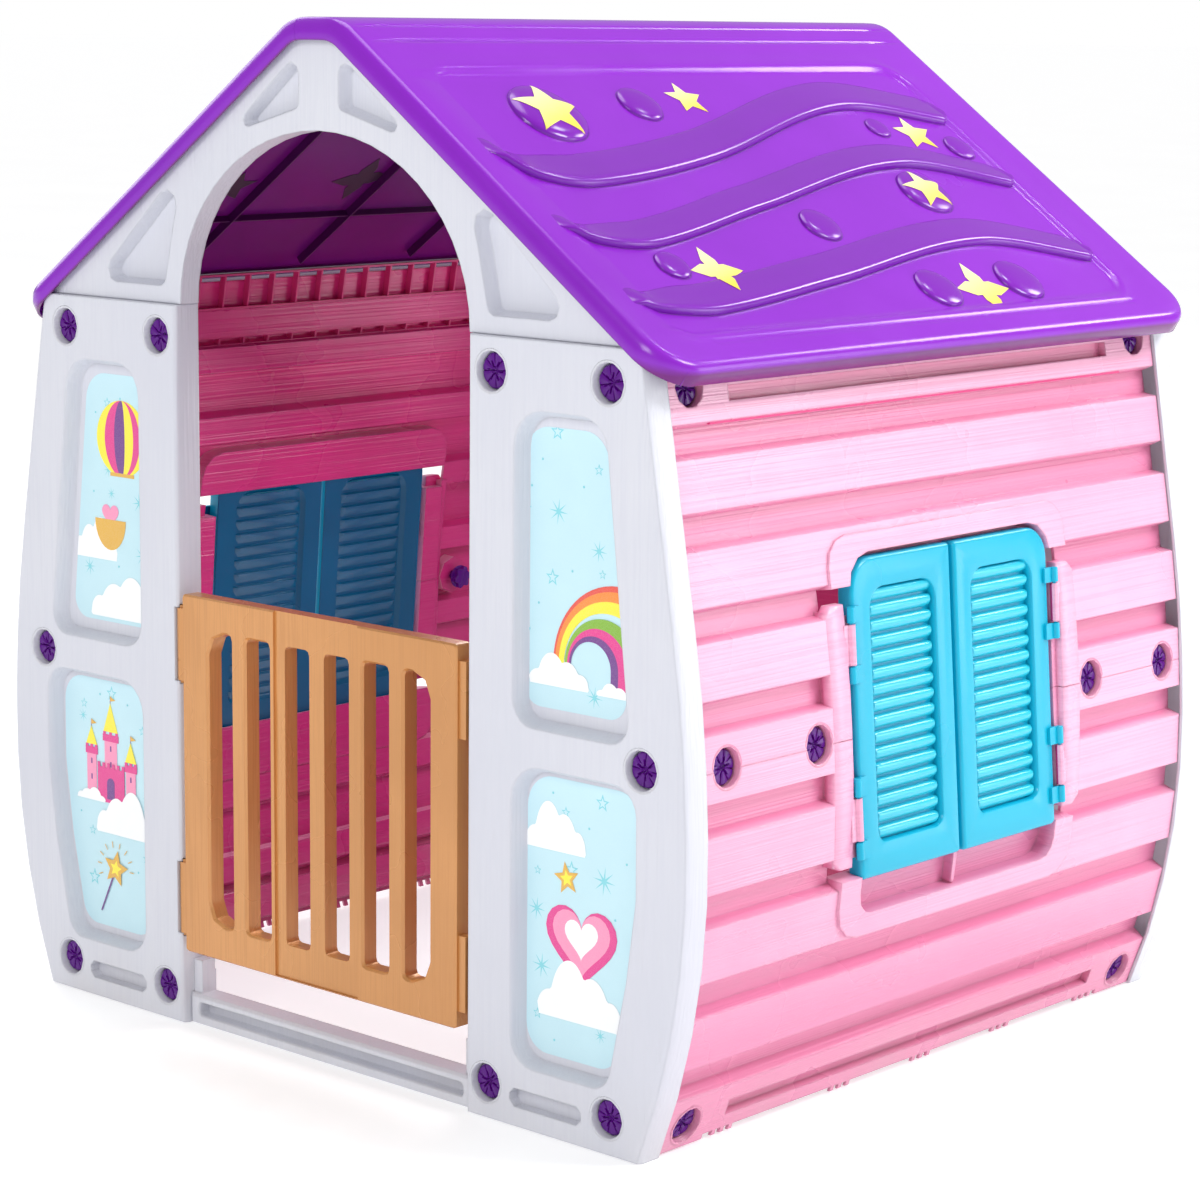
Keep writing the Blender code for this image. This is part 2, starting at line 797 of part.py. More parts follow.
def build_wall(name, side, upper):
    """One half of a side wall: the upper one hangs over the window, the lower one carries its foot."""
    place = wall_place(side)
    window = window_place(side)
    if upper:
        section = wall_section(UPPER_PLANKS, SEAM_Z - GAP, None)
    else:
        section = wall_section(LOWER_PLANKS, None, 0.0)
    body = bmesh.new()
    rings = [
        [Vector((side * p.x, y, p.y)) for p in section]
        for y in (-WALL_HALF_LENGTH, WALL_HALF_LENGTH)
    ]
    loft(body, rings)
    item = make_object(name, body)

    hole = bmesh.new()
    seam_side = WALL_SEAM_Z - 0.02 if upper else WALL_SEAM_Z + 0.02
    low, high = (seam_side, HOLE_TOP) if upper else (HOLE_LOW, seam_side)
    box(hole, place, -HOLE_HALF, HOLE_HALF, low, high, -0.02, 0.05)
    combine(item, hole, "DIFFERENCE")

    seam = WALL_SEAM_Z + GAP / 2 if upper else WALL_SEAM_Z - GAP / 2
    added = bmesh.new()
    # flat block over or under the window, for its shallow pocket
    pocket_z = 0.565 if upper else 0.212
    flat = normal_place(side, 0, pocket_z)
    if upper:
        outline = arch_outline(0.203, HOLE_TOP - pocket_z - 0.002, 0.590 - pocket_z, 0.030)
        prism(added, outline, flat, 0.0015, 0.0255)
        slot_block(added, side, 0.724, 0.758, 0.333, PLANK_IN + 0.0003, 0.017)
    else:
        outline = arch_outline(0.203, 0.181 - pocket_z, HOLE_LOW - pocket_z + 0.002, 0.034, -1)
        prism(added, outline, flat, 0.0015, 0.0255)
        slot_block(added, side, 0.010, 0.047, 0.325, PLANK_IN + 0.0003, 0.019)
    combine(item, added, "UNION")

    # posts beside the window, with closed plank ends, and the fixed knuckles of the hinges
    posts = bmesh.new()
    strip_low, strip_high = (seam, POST_TOP + 0.006) if upper else (POST_LOW - 0.006, seam)
    strip_steps = 3
    levels = [strip_low + (strip_high - strip_low) * k / strip_steps for k in range(strip_steps + 1)]
    for end in (FRONT, REAR):
        rings = []
        for z in levels:
            outer_x = side * (half_width(z) - 0.0062)
            inner_x = side * (half_width(z) - 0.0240)
            near_y = end * 0.2025
            far_y = end * 0.213
            corners = ((outer_x, near_y), (outer_x, far_y), (inner_x, far_y), (inner_x, near_y))
            rings.append([Vector((x, y, z)) for x, y in corners])
        loft(posts, rings)
    combine(item, posts, "UNION")
    posts = bmesh.new()
    cosine = math.cos(WINDOW_TILT)
    post_low = (seam - WINDOW_Z) / cosine if upper else POST_LOW - WINDOW_Z
    post_high = POST_TOP - WINDOW_Z if upper else (seam - WINDOW_Z) / cosine
    for end in (FRONT, REAR):
        rings = []
        for edge in (end * POST_INNER, end * 0.204):
            ring = []
            for out in (-0.002, -0.020):
                drop = out * math.tan(WINDOW_TILT)
                low = post_low - drop if upper else post_low
                high = post_high if upper else post_high - drop
                ring += [window(edge, low, out), window(edge, high, out)]
            ring[2], ring[3] = ring[3], ring[2]
            rings.append(ring)
        loft(posts, rings)
    combine(item, posts, "UNION")
    knuckles = bmesh.new()
    low, high = WALL_KNUCKLES[0] if upper else WALL_KNUCKLES[1]

    def upright(y, out, height):
        return window(y, height, out)

    for end in (FRONT, REAR):
        prism(knuckles, circle(end * HINGE_Y, HINGE_OUT, KNUCKLE_RADIUS, 8), upright, low, high)
        inner_edge, outer_edge = sorted((end * HINGE_Y, end * 0.188))
        box(knuckles, upright, inner_edge, outer_edge, -0.004, HINGE_OUT, low, high)
    combine(item, knuckles, "UNION")

    bosses = bmesh.new()
    cuts = bmesh.new()
    holes = bmesh.new()
    for end in (FRONT, REAR):
        single = TOP_BOLT_Z if upper else LOW_BOLT_Z
        boss(bosses, side, end * END_BOLT_Y, single)
        bolt_cuts(cuts, holes, side, end * END_BOLT_Y, single)
        for y in (END_BOLT_Y, SEAM_BOLT_Y):
            boss(bosses, side, end * y, MID_BOLT_Z, 1 if upper else -1)
            bolt_cuts(cuts, holes, side, end * y, MID_BOLT_Z)
        prism(holes, circle(end * HINGE_Y, HINGE_OUT, 0.0026, 6), upright, low - 0.01, high + 0.01)
    if upper:
        pocket = arch_outline(0.1735, HOLE_TOP - pocket_z - 0.02, 0.570 - pocket_z, 0.035)
        slot_block(cuts, side, 0.733, 0.748, 0.322, 0.0, 0.013)
    else:
        pocket = arch_outline(0.170, 0.204 - pocket_z, HOLE_LOW - pocket_z + 0.018, 0.022, -1)
        slot_block(cuts, side, 0.020, 0.037, 0.318, 0.0, 0.014)
        for start, stop in foot_gaps():
            prism(cuts, rectangle(start, stop, -0.004, FOOT_CUT), place, -0.002, 0.016)
    pocket_cut = bmesh.new()
    prism(pocket_cut, pocket, flat, -0.01, 0.0218)
    combine(item, pocket_cut, "DIFFERENCE")
    if not upper:
        rib = bmesh.new()
        outline = rectangle(-0.0028, 0.0028, 0.2055 - pocket_z, 0.2400 - pocket_z)
        prism(rib, outline, flat, 0.0100, 0.0222)
        combine(item, rib, "UNION")
    combine(item, bosses, "UNION")
    combine(item, cuts, "DIFFERENCE")
    combine(item, holes, "DIFFERENCE")
    finish(item, "pink")


# ---------------------------------------------------------------- roof


def roof_path():
    """Top line of the roof from the ridge seam to the eave: (distance along, x, z, slope)."""
    flat_end = (APEX_Z - RIDGE_Z) / math.tan(ROOF_SLOPE) - BEND_RADIUS * math.tan(ROOF_SLOPE / 2)
    path = [(0.0, 0.0, RIDGE_Z, 0.0), (flat_end, flat_end, RIDGE_Z, 0.0)]
    bend_steps = 3
    for step in range(1, bend_steps + 1):
        angle = ROOF_SLOPE * step / bend_steps
        x = flat_end + BEND_RADIUS * math.sin(angle)
        z = RIDGE_Z - BEND_RADIUS * (1 - math.cos(angle))
        path.append((flat_end + BEND_RADIUS * angle, x, z, angle))
    last = path[-1]
    run = (EAVE_X - last[1]) / math.cos(ROOF_SLOPE)
    path.append((last[0] + run, EAVE_X, last[2] - run * math.sin(ROOF_SLOPE), ROOF_SLOPE))
    return path


def roof_place(side):
    """Maps (y, distance down the roof from the ridge, depth below its top)."""
    path = roof_path()

    def place(y, along, depth):
        across = -side if along < 0 else side
        along = abs(along)
        if along <= path[1][0]:
            x, z, slope = along, RIDGE_Z, 0.0
        else:
            for first, second in zip(path[1:], path[2:]):
                if along <= second[0] or second is path[-1]:
                    break
            part = (along - first[0]) / (second[0] - first[0])
            x = first[1] + (second[1] - first[1]) * part
            z = first[2] + (second[2] - first[2]) * part
            slope = first[3] + (second[3] - first[3]) * part
        return Vector((across * (x - depth * math.sin(slope)), y, z - depth * math.cos(slope)))

    return place


def roof_outline(seam):
    """Outline (y, along) whose front and rear points match in pairs from the ridge to the eave."""
    path = roof_path()
    eave = path[-1][0]
    pairs = [(ROOF_HALF_LENGTH, seam)]
    if seam < 0:
        pairs.append((ROOF_HALF_LENGTH, -path[1][0]))
    for along, _, _, _ in path[1:-1]:
        if along > seam + 0.002:
            pairs.append((ROOF_HALF_LENGTH, along))
    corner_steps = 3
    for step in range(corner_steps + 1):
        angle = math.pi / 2 * step / corner_steps
        y = ROOF_HALF_LENGTH - EAVE_CORNER * (1 - math.cos(angle))
        pairs.append((y, eave - EAVE_CORNER * (1 - math.sin(angle))))
    rear = [Vector((y, along)) for y, along in pairs]
    front = [Vector((-y, along)) for y, along in reversed(pairs)]
    # counter-clockwise: down the rear edge, along the eave, up the front edge
    return rear + front


def roof_solid(side, outline, ridge, layers):
    """Solid that follows the roof's bend, through (inset, depth) layers; ridge insets the seam."""
    place = roof_place(side)
    rings = []
    for amount, depth in layers:
        distances = [amount] * len(outline)
        distances[-1] = ridge
        rings.append([place(p.x, p.y, depth) for p in inset(outline, distances)])
    shape = bmesh.new()
    layered = loft(shape, rings, cap=False)
    count = len(outline)
    for ring in (layered[0], layered[-1]):
        for index in range(count // 2 - 1):
            shape.faces.new(
                (ring[index], ring[index + 1], ring[count - 2 - index], ring[count - 1 - index])
            )
    return shape


# centres (y, along) and radii of the domes, for the slope seen from its own eave
DOMES = (
    (-0.276, 0.193, 0.045),
    (-0.125, 0.180, 0.027),
    (0.230, 0.230, 0.016),
    (0.340, 0.270, 0.020),
    (0.194, 0.345, 0.035),
    (-0.033, 0.389, 0.025),
    (-0.310, 0.435, 0.020),
    (0.052, 0.500, 0.029),
    (0.198, 0.498, 0.031),
)
# y of the points that shape the waves, and each wave's lower edge at those points and its width
WAVE_Y = (-0.419, -0.375, -0.305, -0.100, 0.195, 0.375)
WAVES = (
    ((0.253, 0.296, 0.311, 0.279, 0.197, 0.231), 0.048),
    ((0.371, 0.399, 0.407, 0.361, 0.301, 0.348), 0.039),
    ((0.488, 0.503, 0.510, 0.481, 0.437, 0.482), 0.044),
)
FIELD = (-0.405, 0.372, 0.118, 0.540)
ROOF_GROOVES = ((0.048, 0.420), (0.073, 0.412), (0.5505, 0.360))  # distance along, half length
FIELD_DEPTH = 0.0035


def smooth_curve(points, y):
    """Height of a smooth curve through the points at y."""
    for index in range(len(points) - 1):
        if y <= points[index + 1][0] or index == len(points) - 2:
            break
    before = points[max(index - 1, 0)]
    first = points[index]
    second = points[index + 1]
    after = points[min(index + 2, len(points) - 1)]
    width = second[0] - first[0]
    part = min(max((y - first[0]) / width, 0.0), 1.0)
    slope_first = (second[1] - before[1]) / (second[0] - before[0]) * width
    slope_second = (after[1] - first[1]) / (after[0] - first[0]) * width
    square = part * part
    cube = square * part
    return (
        first[1] * (2 * cube - 3 * square + 1)
        + slope_first * (cube - 2 * square + part)
        + second[1] * (3 * square - 2 * cube)
        + slope_second * (cube - square)
    )


def build_roof(name, side):
    place = roof_place(side)
    seam = ROOF_SEAM_X if side == RIGHT else -ROOF_SEAM_X + GAP

    # the left panel carries the same pattern turned half round
    def turned(y, along, depth):
        return place(side * y, along, depth)

    outline = roof_outline(seam)
    outer = ((0.011, 0.0), (0.0035, 0.0025), (0.0, 0.009), (0.0012, LIP_DEPTH))
    item = make_object(name, roof_solid(side, outline, 0.0, outer))
    inner = ((0.0042, ROOF_SKIN), (0.0030, LIP_DEPTH + 0.004))
    combine(item, roof_solid(side, outline, -0.006, inner), "DIFFERENCE")

    cuts = bmesh.new()
    field = rectangle(*FIELD, 0.042, 3)
    field_layers = [
        (even_inset(field, -0.001), -0.002),
        (field, 0.0004),
        (even_inset(field, 0.006), FIELD_DEPTH),
    ]
    stepped(cuts, turned, field_layers)
    for along, reach in ROOF_GROOVES:
        box(cuts, turned, -reach, reach, along - 0.0012, along + 0.0012, -0.002, 0.0015)
    combine(item, cuts, "DIFFERENCE")

    waves = bmesh.new()
    stations = 11
    for heights, width in WAVES:
        points = list(zip(WAVE_Y, heights))
        rings = []
        for number in range(stations + 1):
            y = FIELD[0] - 0.006 + (FIELD[1] - FIELD[0] + 0.012) * number / stations
            low = smooth_curve(points, y)
            section = (
                (low - width, FIELD_DEPTH + 0.0015),
                (low - width, FIELD_DEPTH - 0.0006),
                (low - 0.002, -0.0008),
                (low, FIELD_DEPTH + 0.0015),
            )
            rings.append([turned(y, along, depth) for along, depth in section])
        loft(waves, rings)
    combine(item, waves, "UNION")

    domes = bmesh.new()
    for y, along, radius in DOMES:
        layers = []
        for part, height in ((1.0, -0.0015), (0.9, 0.0045), (0.5, 0.0085)):
            layers.append((circle(y, along, radius * part, 8), FIELD_DEPTH - height))
        stepped(domes, turned, layers)
    combine(item, domes, "UNION")

    ribs = bmesh.new()
    for y in (-0.27, -0.09, 0.09, 0.27):
        box(ribs, place, y - 0.0015, y + 0.0015, 0.090, 0.500, ROOF_SKIN - 0.001, 0.017)
    combine(item, ribs, "UNION")
    finish(item, "purple")


# ---------------------------------------------------------------- gate


def gate_slots():
    """Six slots between the bars; the two outer ones have large outer corners."""
    left, right = -0.167, 0.167
    low, high = 0.123, 0.444
    width = (right - left - BARS * BAR_WIDTH) / (BARS + 1)
    slots = []
    for number in range(BARS + 1):
        x0 = left + number * (width + BAR_WIDTH)
        x1 = x0 + width
        outer = 0.025
        inner = 0.006
        r_left = outer if number == 0 else inner
        r_right = outer if number == BARS else inner
        corners = [(x0, low, r_left), (x1, low, r_right), (x1, high, r_right), (x0, high, r_left)]
        slots.append(rounded(corners, 2))
    return slots


def build_gate():
    origin = Vector((GATE_HINGE_X, -HALF_DEPTH + GATE_HINGE_DEPTH, 0.0))

    def place(x, z, depth):
        return Vector((x, -HALF_DEPTH + depth, z)) - origin

    def upright(x, depth, z):
        return place(x, z, depth)

    outline = rectangle(GATE_LEFT, GATE_RIGHT, GATE_LOW, GATE_TOP, 0.004, 2)
    body = bmesh.new()
    back = GATE_FACE + GATE_THICK
    layers = [
        (even_inset(outline, 0.002), GATE_FACE),
        (outline, GATE_FACE + 0.002),
        (outline, back),
    ]
    stepped(body, place, layers)
    item = make_object("gate", body)
    cuts = bmesh.new()
    for slot in gate_slots():
        slot_layers = [
            (even_inset(slot, -0.004), GATE_FACE - 0.002),
            (slot, GATE_FACE + 0.003),
            (slot, back + 0.005),
        ]
        stepped(cuts, place, slot_layers)
    combine(item, cuts, "DIFFERENCE")
    middle = bmesh.new()
    box(middle, place, -0.063, 0.063, 0.087, 0.490, GATE_FACE - 0.005, GATE_FACE + 0.0025)
    combine(item, middle, "DIFFERENCE")

    lugs = bmesh.new()
    for low, high in GATE_LUGS:
        box(lugs, place, GATE_RIGHT - 0.004, 0.2148, low, high, 0.001, 0.013)
        box(lugs, place, GATE_HINGE_X, GATE_LEFT + 0.004, low, high, 0.0012, 0.0098)
    combine(item, lugs, "UNION")
    pivots = bmesh.new()
    for low, high in GATE_LUGS:
        layers = []
        for radius, z in (
            (0.0025, low - 0.003),
            (0.0025, low),
            (0.0052, low),
            (0.0052, high),
            (0.0025, high),
            (0.0025, high + 0.003),
        ):
            layers.append((circle(GATE_HINGE_X, GATE_HINGE_DEPTH, radius, 8), z))
        stepped(pivots, upright, layers)
    combine(item, pivots, "UNION")
    item.location = origin
    finish(item, "gold")


# ---------------------------------------------------------------- shutters


def build_shutter(name, side, end):
    """A louvred shutter modelled about its own hinge axis, then set into the tilted window."""

    def place(y, height, out):
        return Vector((side * (out - HINGE_OUT), end * (y - HINGE_Y), height))

    def upright(y, out, height):
        return place(y, height, out)

    half = SHUTTER_HALF_HEIGHT
    corners = [
        (SHUTTER_INNER, -half, 0.003),
        (SHUTTER_OUTER, -half, 0.006),
        (SHUTTER_OUTER, half, 0.034),
        (SHUTTER_INNER, half, 0.003),
    ]
    outline = rounded(corners, 2)
    body = bmesh.new()
    layers = [(outline, -SHUTTER_THICK), (outline, -0.003), (even_inset(outline, 0.003), 0.0)]
    stepped(body, place, layers)
    item = make_object(name, body)

    louvre_low, louvre_high = -half + 0.034, half - 0.032
    field = rounded(
        [
            (0.032, louvre_low, 0.012),
            (0.138, louvre_low, 0.012),
            (0.138, louvre_high, 0.022),
            (0.032, louvre_high, 0.022),
        ],
        3,
    )
    # the louvres are what is left between sloping cuts
    pitch = (louvre_high - louvre_low) / SLATS
    rings = []
    for y in (0.020, 0.150):
        ring = [place(y, louvre_low - 0.004, 0.004), place(y, louvre_low - 0.004, -0.010)]
        for number in range(SLATS):
            low = louvre_low + number * pitch
            ring.append(place(y, low, -0.010))
            ring.append(place(y, low + 0.003, -0.0030))
        ring.append(place(y, louvre_high + 0.004, -0.010))
        ring.append(place(y, louvre_high + 0.004, 0.004))
        rings.append(ring)
    louvres = bmesh.new()
    loft(louvres, rings)
    louvre_item = make_object("louvres", louvres)
    limits = bmesh.new()
    prism(limits, field, place, 0.006, -0.012)
    combine(louvre_item, limits, "INTERSECT")
    cuts = bmesh.new()
    cuts.from_mesh(louvre_item.data)
    bpy.data.objects.remove(louvre_item)
    combine(item, cuts, "DIFFERENCE")
    hollow = bmesh.new()
    back = rectangle(SHUTTER_INNER + 0.004, SHUTTER_OUTER - 0.004, -half + 0.004, half - 0.036)
    prism(hollow, back, place, -0.0135, -SHUTTER_THICK - 0.002)
    combine(item, hollow, "DIFFERENCE")

    webs = bmesh.new()
    for low, high in SHUTTER_KNUCKLES:
        box(webs, upright, 0.160, HINGE_Y, HINGE_OUT - KNUCKLE_RADIUS, HINGE_OUT, low, high)
    combine(item, webs, "UNION")
    knuckles = bmesh.new()
    for low, high in SHUTTER_KNUCKLES:
        prism(knuckles, circle(HINGE_Y, HINGE_OUT, KNUCKLE_RADIUS, 8), upright, low, high)
    combine(item, knuckles, "UNION")
    pins = bmesh.new()
    for lower, upper in ((1, 0), (3, 2)):
        low = SHUTTER_KNUCKLES[lower][1] - 0.004
        high = SHUTTER_KNUCKLES[upper][0] + 0.004
        prism(pins, circle(HINGE_Y, HINGE_OUT, 0.0021, 6), upright, low, high)
    combine(item, pins, "UNION")
    item.matrix_world = window_matrix(side) @ Matrix.Translation((side * HINGE_OUT, end * HINGE_Y, 0))
    finish(item, "cyan")


# ---------------------------------------------------------------- bolts


def build_bolt(name, point, out, grip):
    """Bolt with its knob nut done up. The seat of the head is at the point and out is its axis."""
    profile = (
        (HEAD_RADIUS, HEAD_THICK),
        (HEAD_RADIUS, GAP),
        (SHANK_RADIUS, GAP),
        (SHANK_RADIUS, -grip - GAP),
        (NUT_RADIUS, -grip - GAP),
        (NUT_RADIUS, -grip - NUT_THICK),
    )
    shape = bmesh.new()
    rings = []
    for radius, height in profile:
        rings.append([Vector((p.x, p.y, height)) for p in circle(0, 0, radius, BOLT_SIDES)])
    loft(shape, rings)
    item = make_object(name, shape)
    item.rotation_mode = "QUATERNION"
    item.rotation_quaternion = out.to_track_quat("Z", "Y")
    item.location = point
    finish(item, "violet")


def build_bolts():
    sides = ((RIGHT, "right"), (LEFT, "left"))
    ends = ((FRONT, "front"), (REAR, "rear"))
    flange = PANEL_DEPTH + GAP + 0.0035 - SEAT
    grips = (flange, flange, PANEL_DEPTH - SEAT, PANEL_DEPTH - SEAT, flange)
    for side, side_name in sides:
        for end, end_name in ends:
            place = end_place(side, end)
            for number, ((x, z), grip) in enumerate(zip(FACE_BOLTS, grips), 1):
                name = f"{end_name}_{side_name}_bolt_{number}"
                build_bolt(name, place(x, z, SEAT), Vector((0, end, 0)), grip)
            spots = (
                (END_BOLT_Y, TOP_BOLT_Z, TONGUE_IN),
                (END_BOLT_Y, MID_BOLT_Z, TONGUE_IN),
                (SEAM_BOLT_Y, MID_BOLT_Z, WALL_BOSS_IN),
                (END_BOLT_Y, LOW_BOLT_Z, TONGUE_IN),
            )
            for number, (y, z, inner) in enumerate(spots, 1):
                spot = normal_place(side, end * y, z)
                seat = SEAT + PLANK_IN + 0.0003
                out = (spot(0, 0, 0) - spot(0, 0, 0.01)).normalized()
                name = f"{side_name}_wall_{end_name}_bolt_{number}"
                build_bolt(name, spot(0, 0, seat), out, inner - seat)


def main():
    clear_scene()
    for end, end_name in ((FRONT, "front"), (REAR, "rear")):
        for side, side_name in ((RIGHT, "right"), (LEFT, "left")):
            build_panel(f"{end_name}_{side_name}_panel", side, end)
        build_gable(f"{end_name}_gable", end)
    build_sill()
    build_rear_infill()
    for side, side_name in ((RIGHT, "right"), (LEFT, "left")):
        build_wall(f"{side_name}_wall_upper", side, True)
        build_wall(f"{side_name}_wall_lower", side, False)
        build_roof(f"roof_{side_name}", side)
        for end, end_name in ((FRONT, "front"), (REAR, "rear")):
            build_shutter(f"{side_name}_shutter_{end_name}", side, end)
    build_gate()
    build_bolts()


main()
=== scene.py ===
"""The looks of a child's plastic playhouse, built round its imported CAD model.

Metres, +Z up, the doorway faces -Y. The CAD nodes keep their shapes and get their plastics here.
The roof panels, shutters and bolts are replaced by finer meshes in the same places, and the
printed stickers and the ribs inside the walls are added.
"""

import math

import bmesh
import bpy
import numpy as np
from mathutils import Matrix, Vector
from mathutils.geometry import tessellate_polygon


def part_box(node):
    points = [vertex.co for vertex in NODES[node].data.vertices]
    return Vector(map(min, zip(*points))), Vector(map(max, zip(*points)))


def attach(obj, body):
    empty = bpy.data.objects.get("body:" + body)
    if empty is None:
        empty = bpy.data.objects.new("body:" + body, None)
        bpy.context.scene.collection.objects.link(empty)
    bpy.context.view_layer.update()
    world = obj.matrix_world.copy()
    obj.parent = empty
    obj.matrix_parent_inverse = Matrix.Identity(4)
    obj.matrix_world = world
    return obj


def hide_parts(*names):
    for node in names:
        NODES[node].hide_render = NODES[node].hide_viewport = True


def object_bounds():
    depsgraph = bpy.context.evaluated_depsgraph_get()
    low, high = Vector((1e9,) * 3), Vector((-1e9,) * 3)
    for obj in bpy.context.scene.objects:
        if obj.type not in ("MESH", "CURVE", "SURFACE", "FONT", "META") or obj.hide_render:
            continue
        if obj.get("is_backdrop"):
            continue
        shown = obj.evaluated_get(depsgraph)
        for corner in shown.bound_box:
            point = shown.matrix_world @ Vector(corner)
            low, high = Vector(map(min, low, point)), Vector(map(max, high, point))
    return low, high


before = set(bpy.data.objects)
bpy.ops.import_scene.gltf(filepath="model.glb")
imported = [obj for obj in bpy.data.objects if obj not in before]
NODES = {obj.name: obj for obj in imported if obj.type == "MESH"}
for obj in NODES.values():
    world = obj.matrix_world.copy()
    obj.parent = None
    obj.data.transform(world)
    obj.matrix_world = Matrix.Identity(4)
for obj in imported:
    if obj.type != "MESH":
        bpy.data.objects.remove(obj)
CAD_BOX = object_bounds()
HOUSE = "house"
FRONT, REAR = -1, 1
RIGHT, LEFT = 1, -1
SIDES = ((RIGHT, "right"), (LEFT, "left"))
ENDS = ((FRONT, "front"), (REAR, "rear"))
HALF_DEPTH = -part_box("front_right_panel")[0].y
# the side walls' outline is an arc about the crest, and straight above the arc
CREST_X, CREST_Z = 0.505, 0.290
ARC_RADIUS = 1.379
ARC_TOP = 0.520
TOP_SLOPE = math.tan(math.asin((ARC_TOP - CREST_Z) / ARC_RADIUS))

# ---- camera ----
CAMERA_SPOT = (2.45693, -2.73478, 1.08435)
CAMERA_RIGHT = (0.74156607, 0.67080629, 0.00993432)
CAMERA_UP = (-0.12054865, 0.11866858, 0.98558906)
CAMERA_BACK = (0.65996045, -0.73207697, 0.16886539)
LENS = 99.07


# ---------------------------------------------------------------- materials


class Graph:
    """A node material, with short ways to add nodes and link them."""

    def __init__(self, name):
        self.material = bpy.data.materials.new(name)
        self.material.use_nodes = True
        self.tree = self.material.node_tree
        self.shader = self.tree.nodes["Principled BSDF"]

    def put(self, socket, value):
        if isinstance(value, bpy.types.NodeSocket):
            self.tree.links.new(value, socket)
        elif hasattr(value, "__len__") and len(value) == 3 and socket.type == "RGBA":
            socket.default_value = (*value, 1.0)
        else:
            socket.default_value = value

    def node(self, kind, inputs=(), **settings):
        node = self.tree.nodes.new("ShaderNode" + kind)
        for key, value in settings.items():
            setattr(node, key, value)
        for key, value in dict(inputs).items():
            self.put(node.inputs[key], value)
        return node

    def coords(self, kind="Object"):
        return self.node("TexCoord").outputs[kind]

    def noise(self, scale, detail=3.0, stretch=None, roughness=0.5):
        where = self.coords()
        if stretch:
            where = self.node("Mapping", {"Vector": where, "Scale": stretch}).outputs["Vector"]
        settings = {"Vector": where, "Scale": scale, "Detail": detail, "Roughness": roughness}
        return self.node("TexNoise", settings).outputs["Fac"]

    def ramp(self, value, low, high, start=0.0, end=1.0):
        settings = {"Value": value, "From Min": low, "From Max": high, "To Min": start, "To Max": end}
        return self.node("MapRange", settings).outputs["Result"]

    def math(self, operation, first, second=0.0):
        return self.node("Math", {0: first, 1: second}, operation=operation).outputs[0]

    def mix(self, amount, first, second, blend="MIX"):
        node = self.node("Mix", data_type="RGBA", blend_type=blend)
        colours = [socket for socket in node.inputs if socket.type == "RGBA"]
        self.put(node.inputs[0], amount)
        self.put(colours[0], first)
        self.put(colours[1], second)
        return [socket for socket in node.outputs if socket.type == "RGBA"][0]

    def bump(self, height, strength, distance, under=None):
        inputs = {"Height": height, "Strength": strength, "Distance": distance}
        if under is not None:
            inputs["Normal"] = under
        return self.node("Bump", inputs).outputs["Normal"]

    def wall_depth(self):
        """How far a face lies inside the side wall's outline, with a parabola for its arc."""
        across, _, height = self.node("SeparateXYZ", {0: self.coords()}).outputs
        rise = self.math("SUBTRACT", self.math("MINIMUM", height, ARC_TOP), CREST_Z)
        sag = self.math("MULTIPLY", self.math("MULTIPLY", rise, rise), 0.5 / ARC_RADIUS)
        over = self.math("MAXIMUM", self.math("SUBTRACT", height, ARC_TOP), 0.0)
        sag = self.math("ADD", sag, self.math("MULTIPLY", over, TOP_SLOPE))
        return self.math("SUBTRACT", self.math("SUBTRACT", CREST_X, sag), self.math("ABSOLUTE", across))

    def inner_mask(self, axis):
        """1 on faces that look into the house along that axis, 0 on those that look out."""
        place = self.node("SeparateXYZ", {0: self.coords()}).outputs[axis]
        facing = self.node("SeparateXYZ", {0: self.coords("Normal")}).outputs[axis]
        return self.ramp(self.math("MULTIPLY", place, facing), -0.04, -0.16)


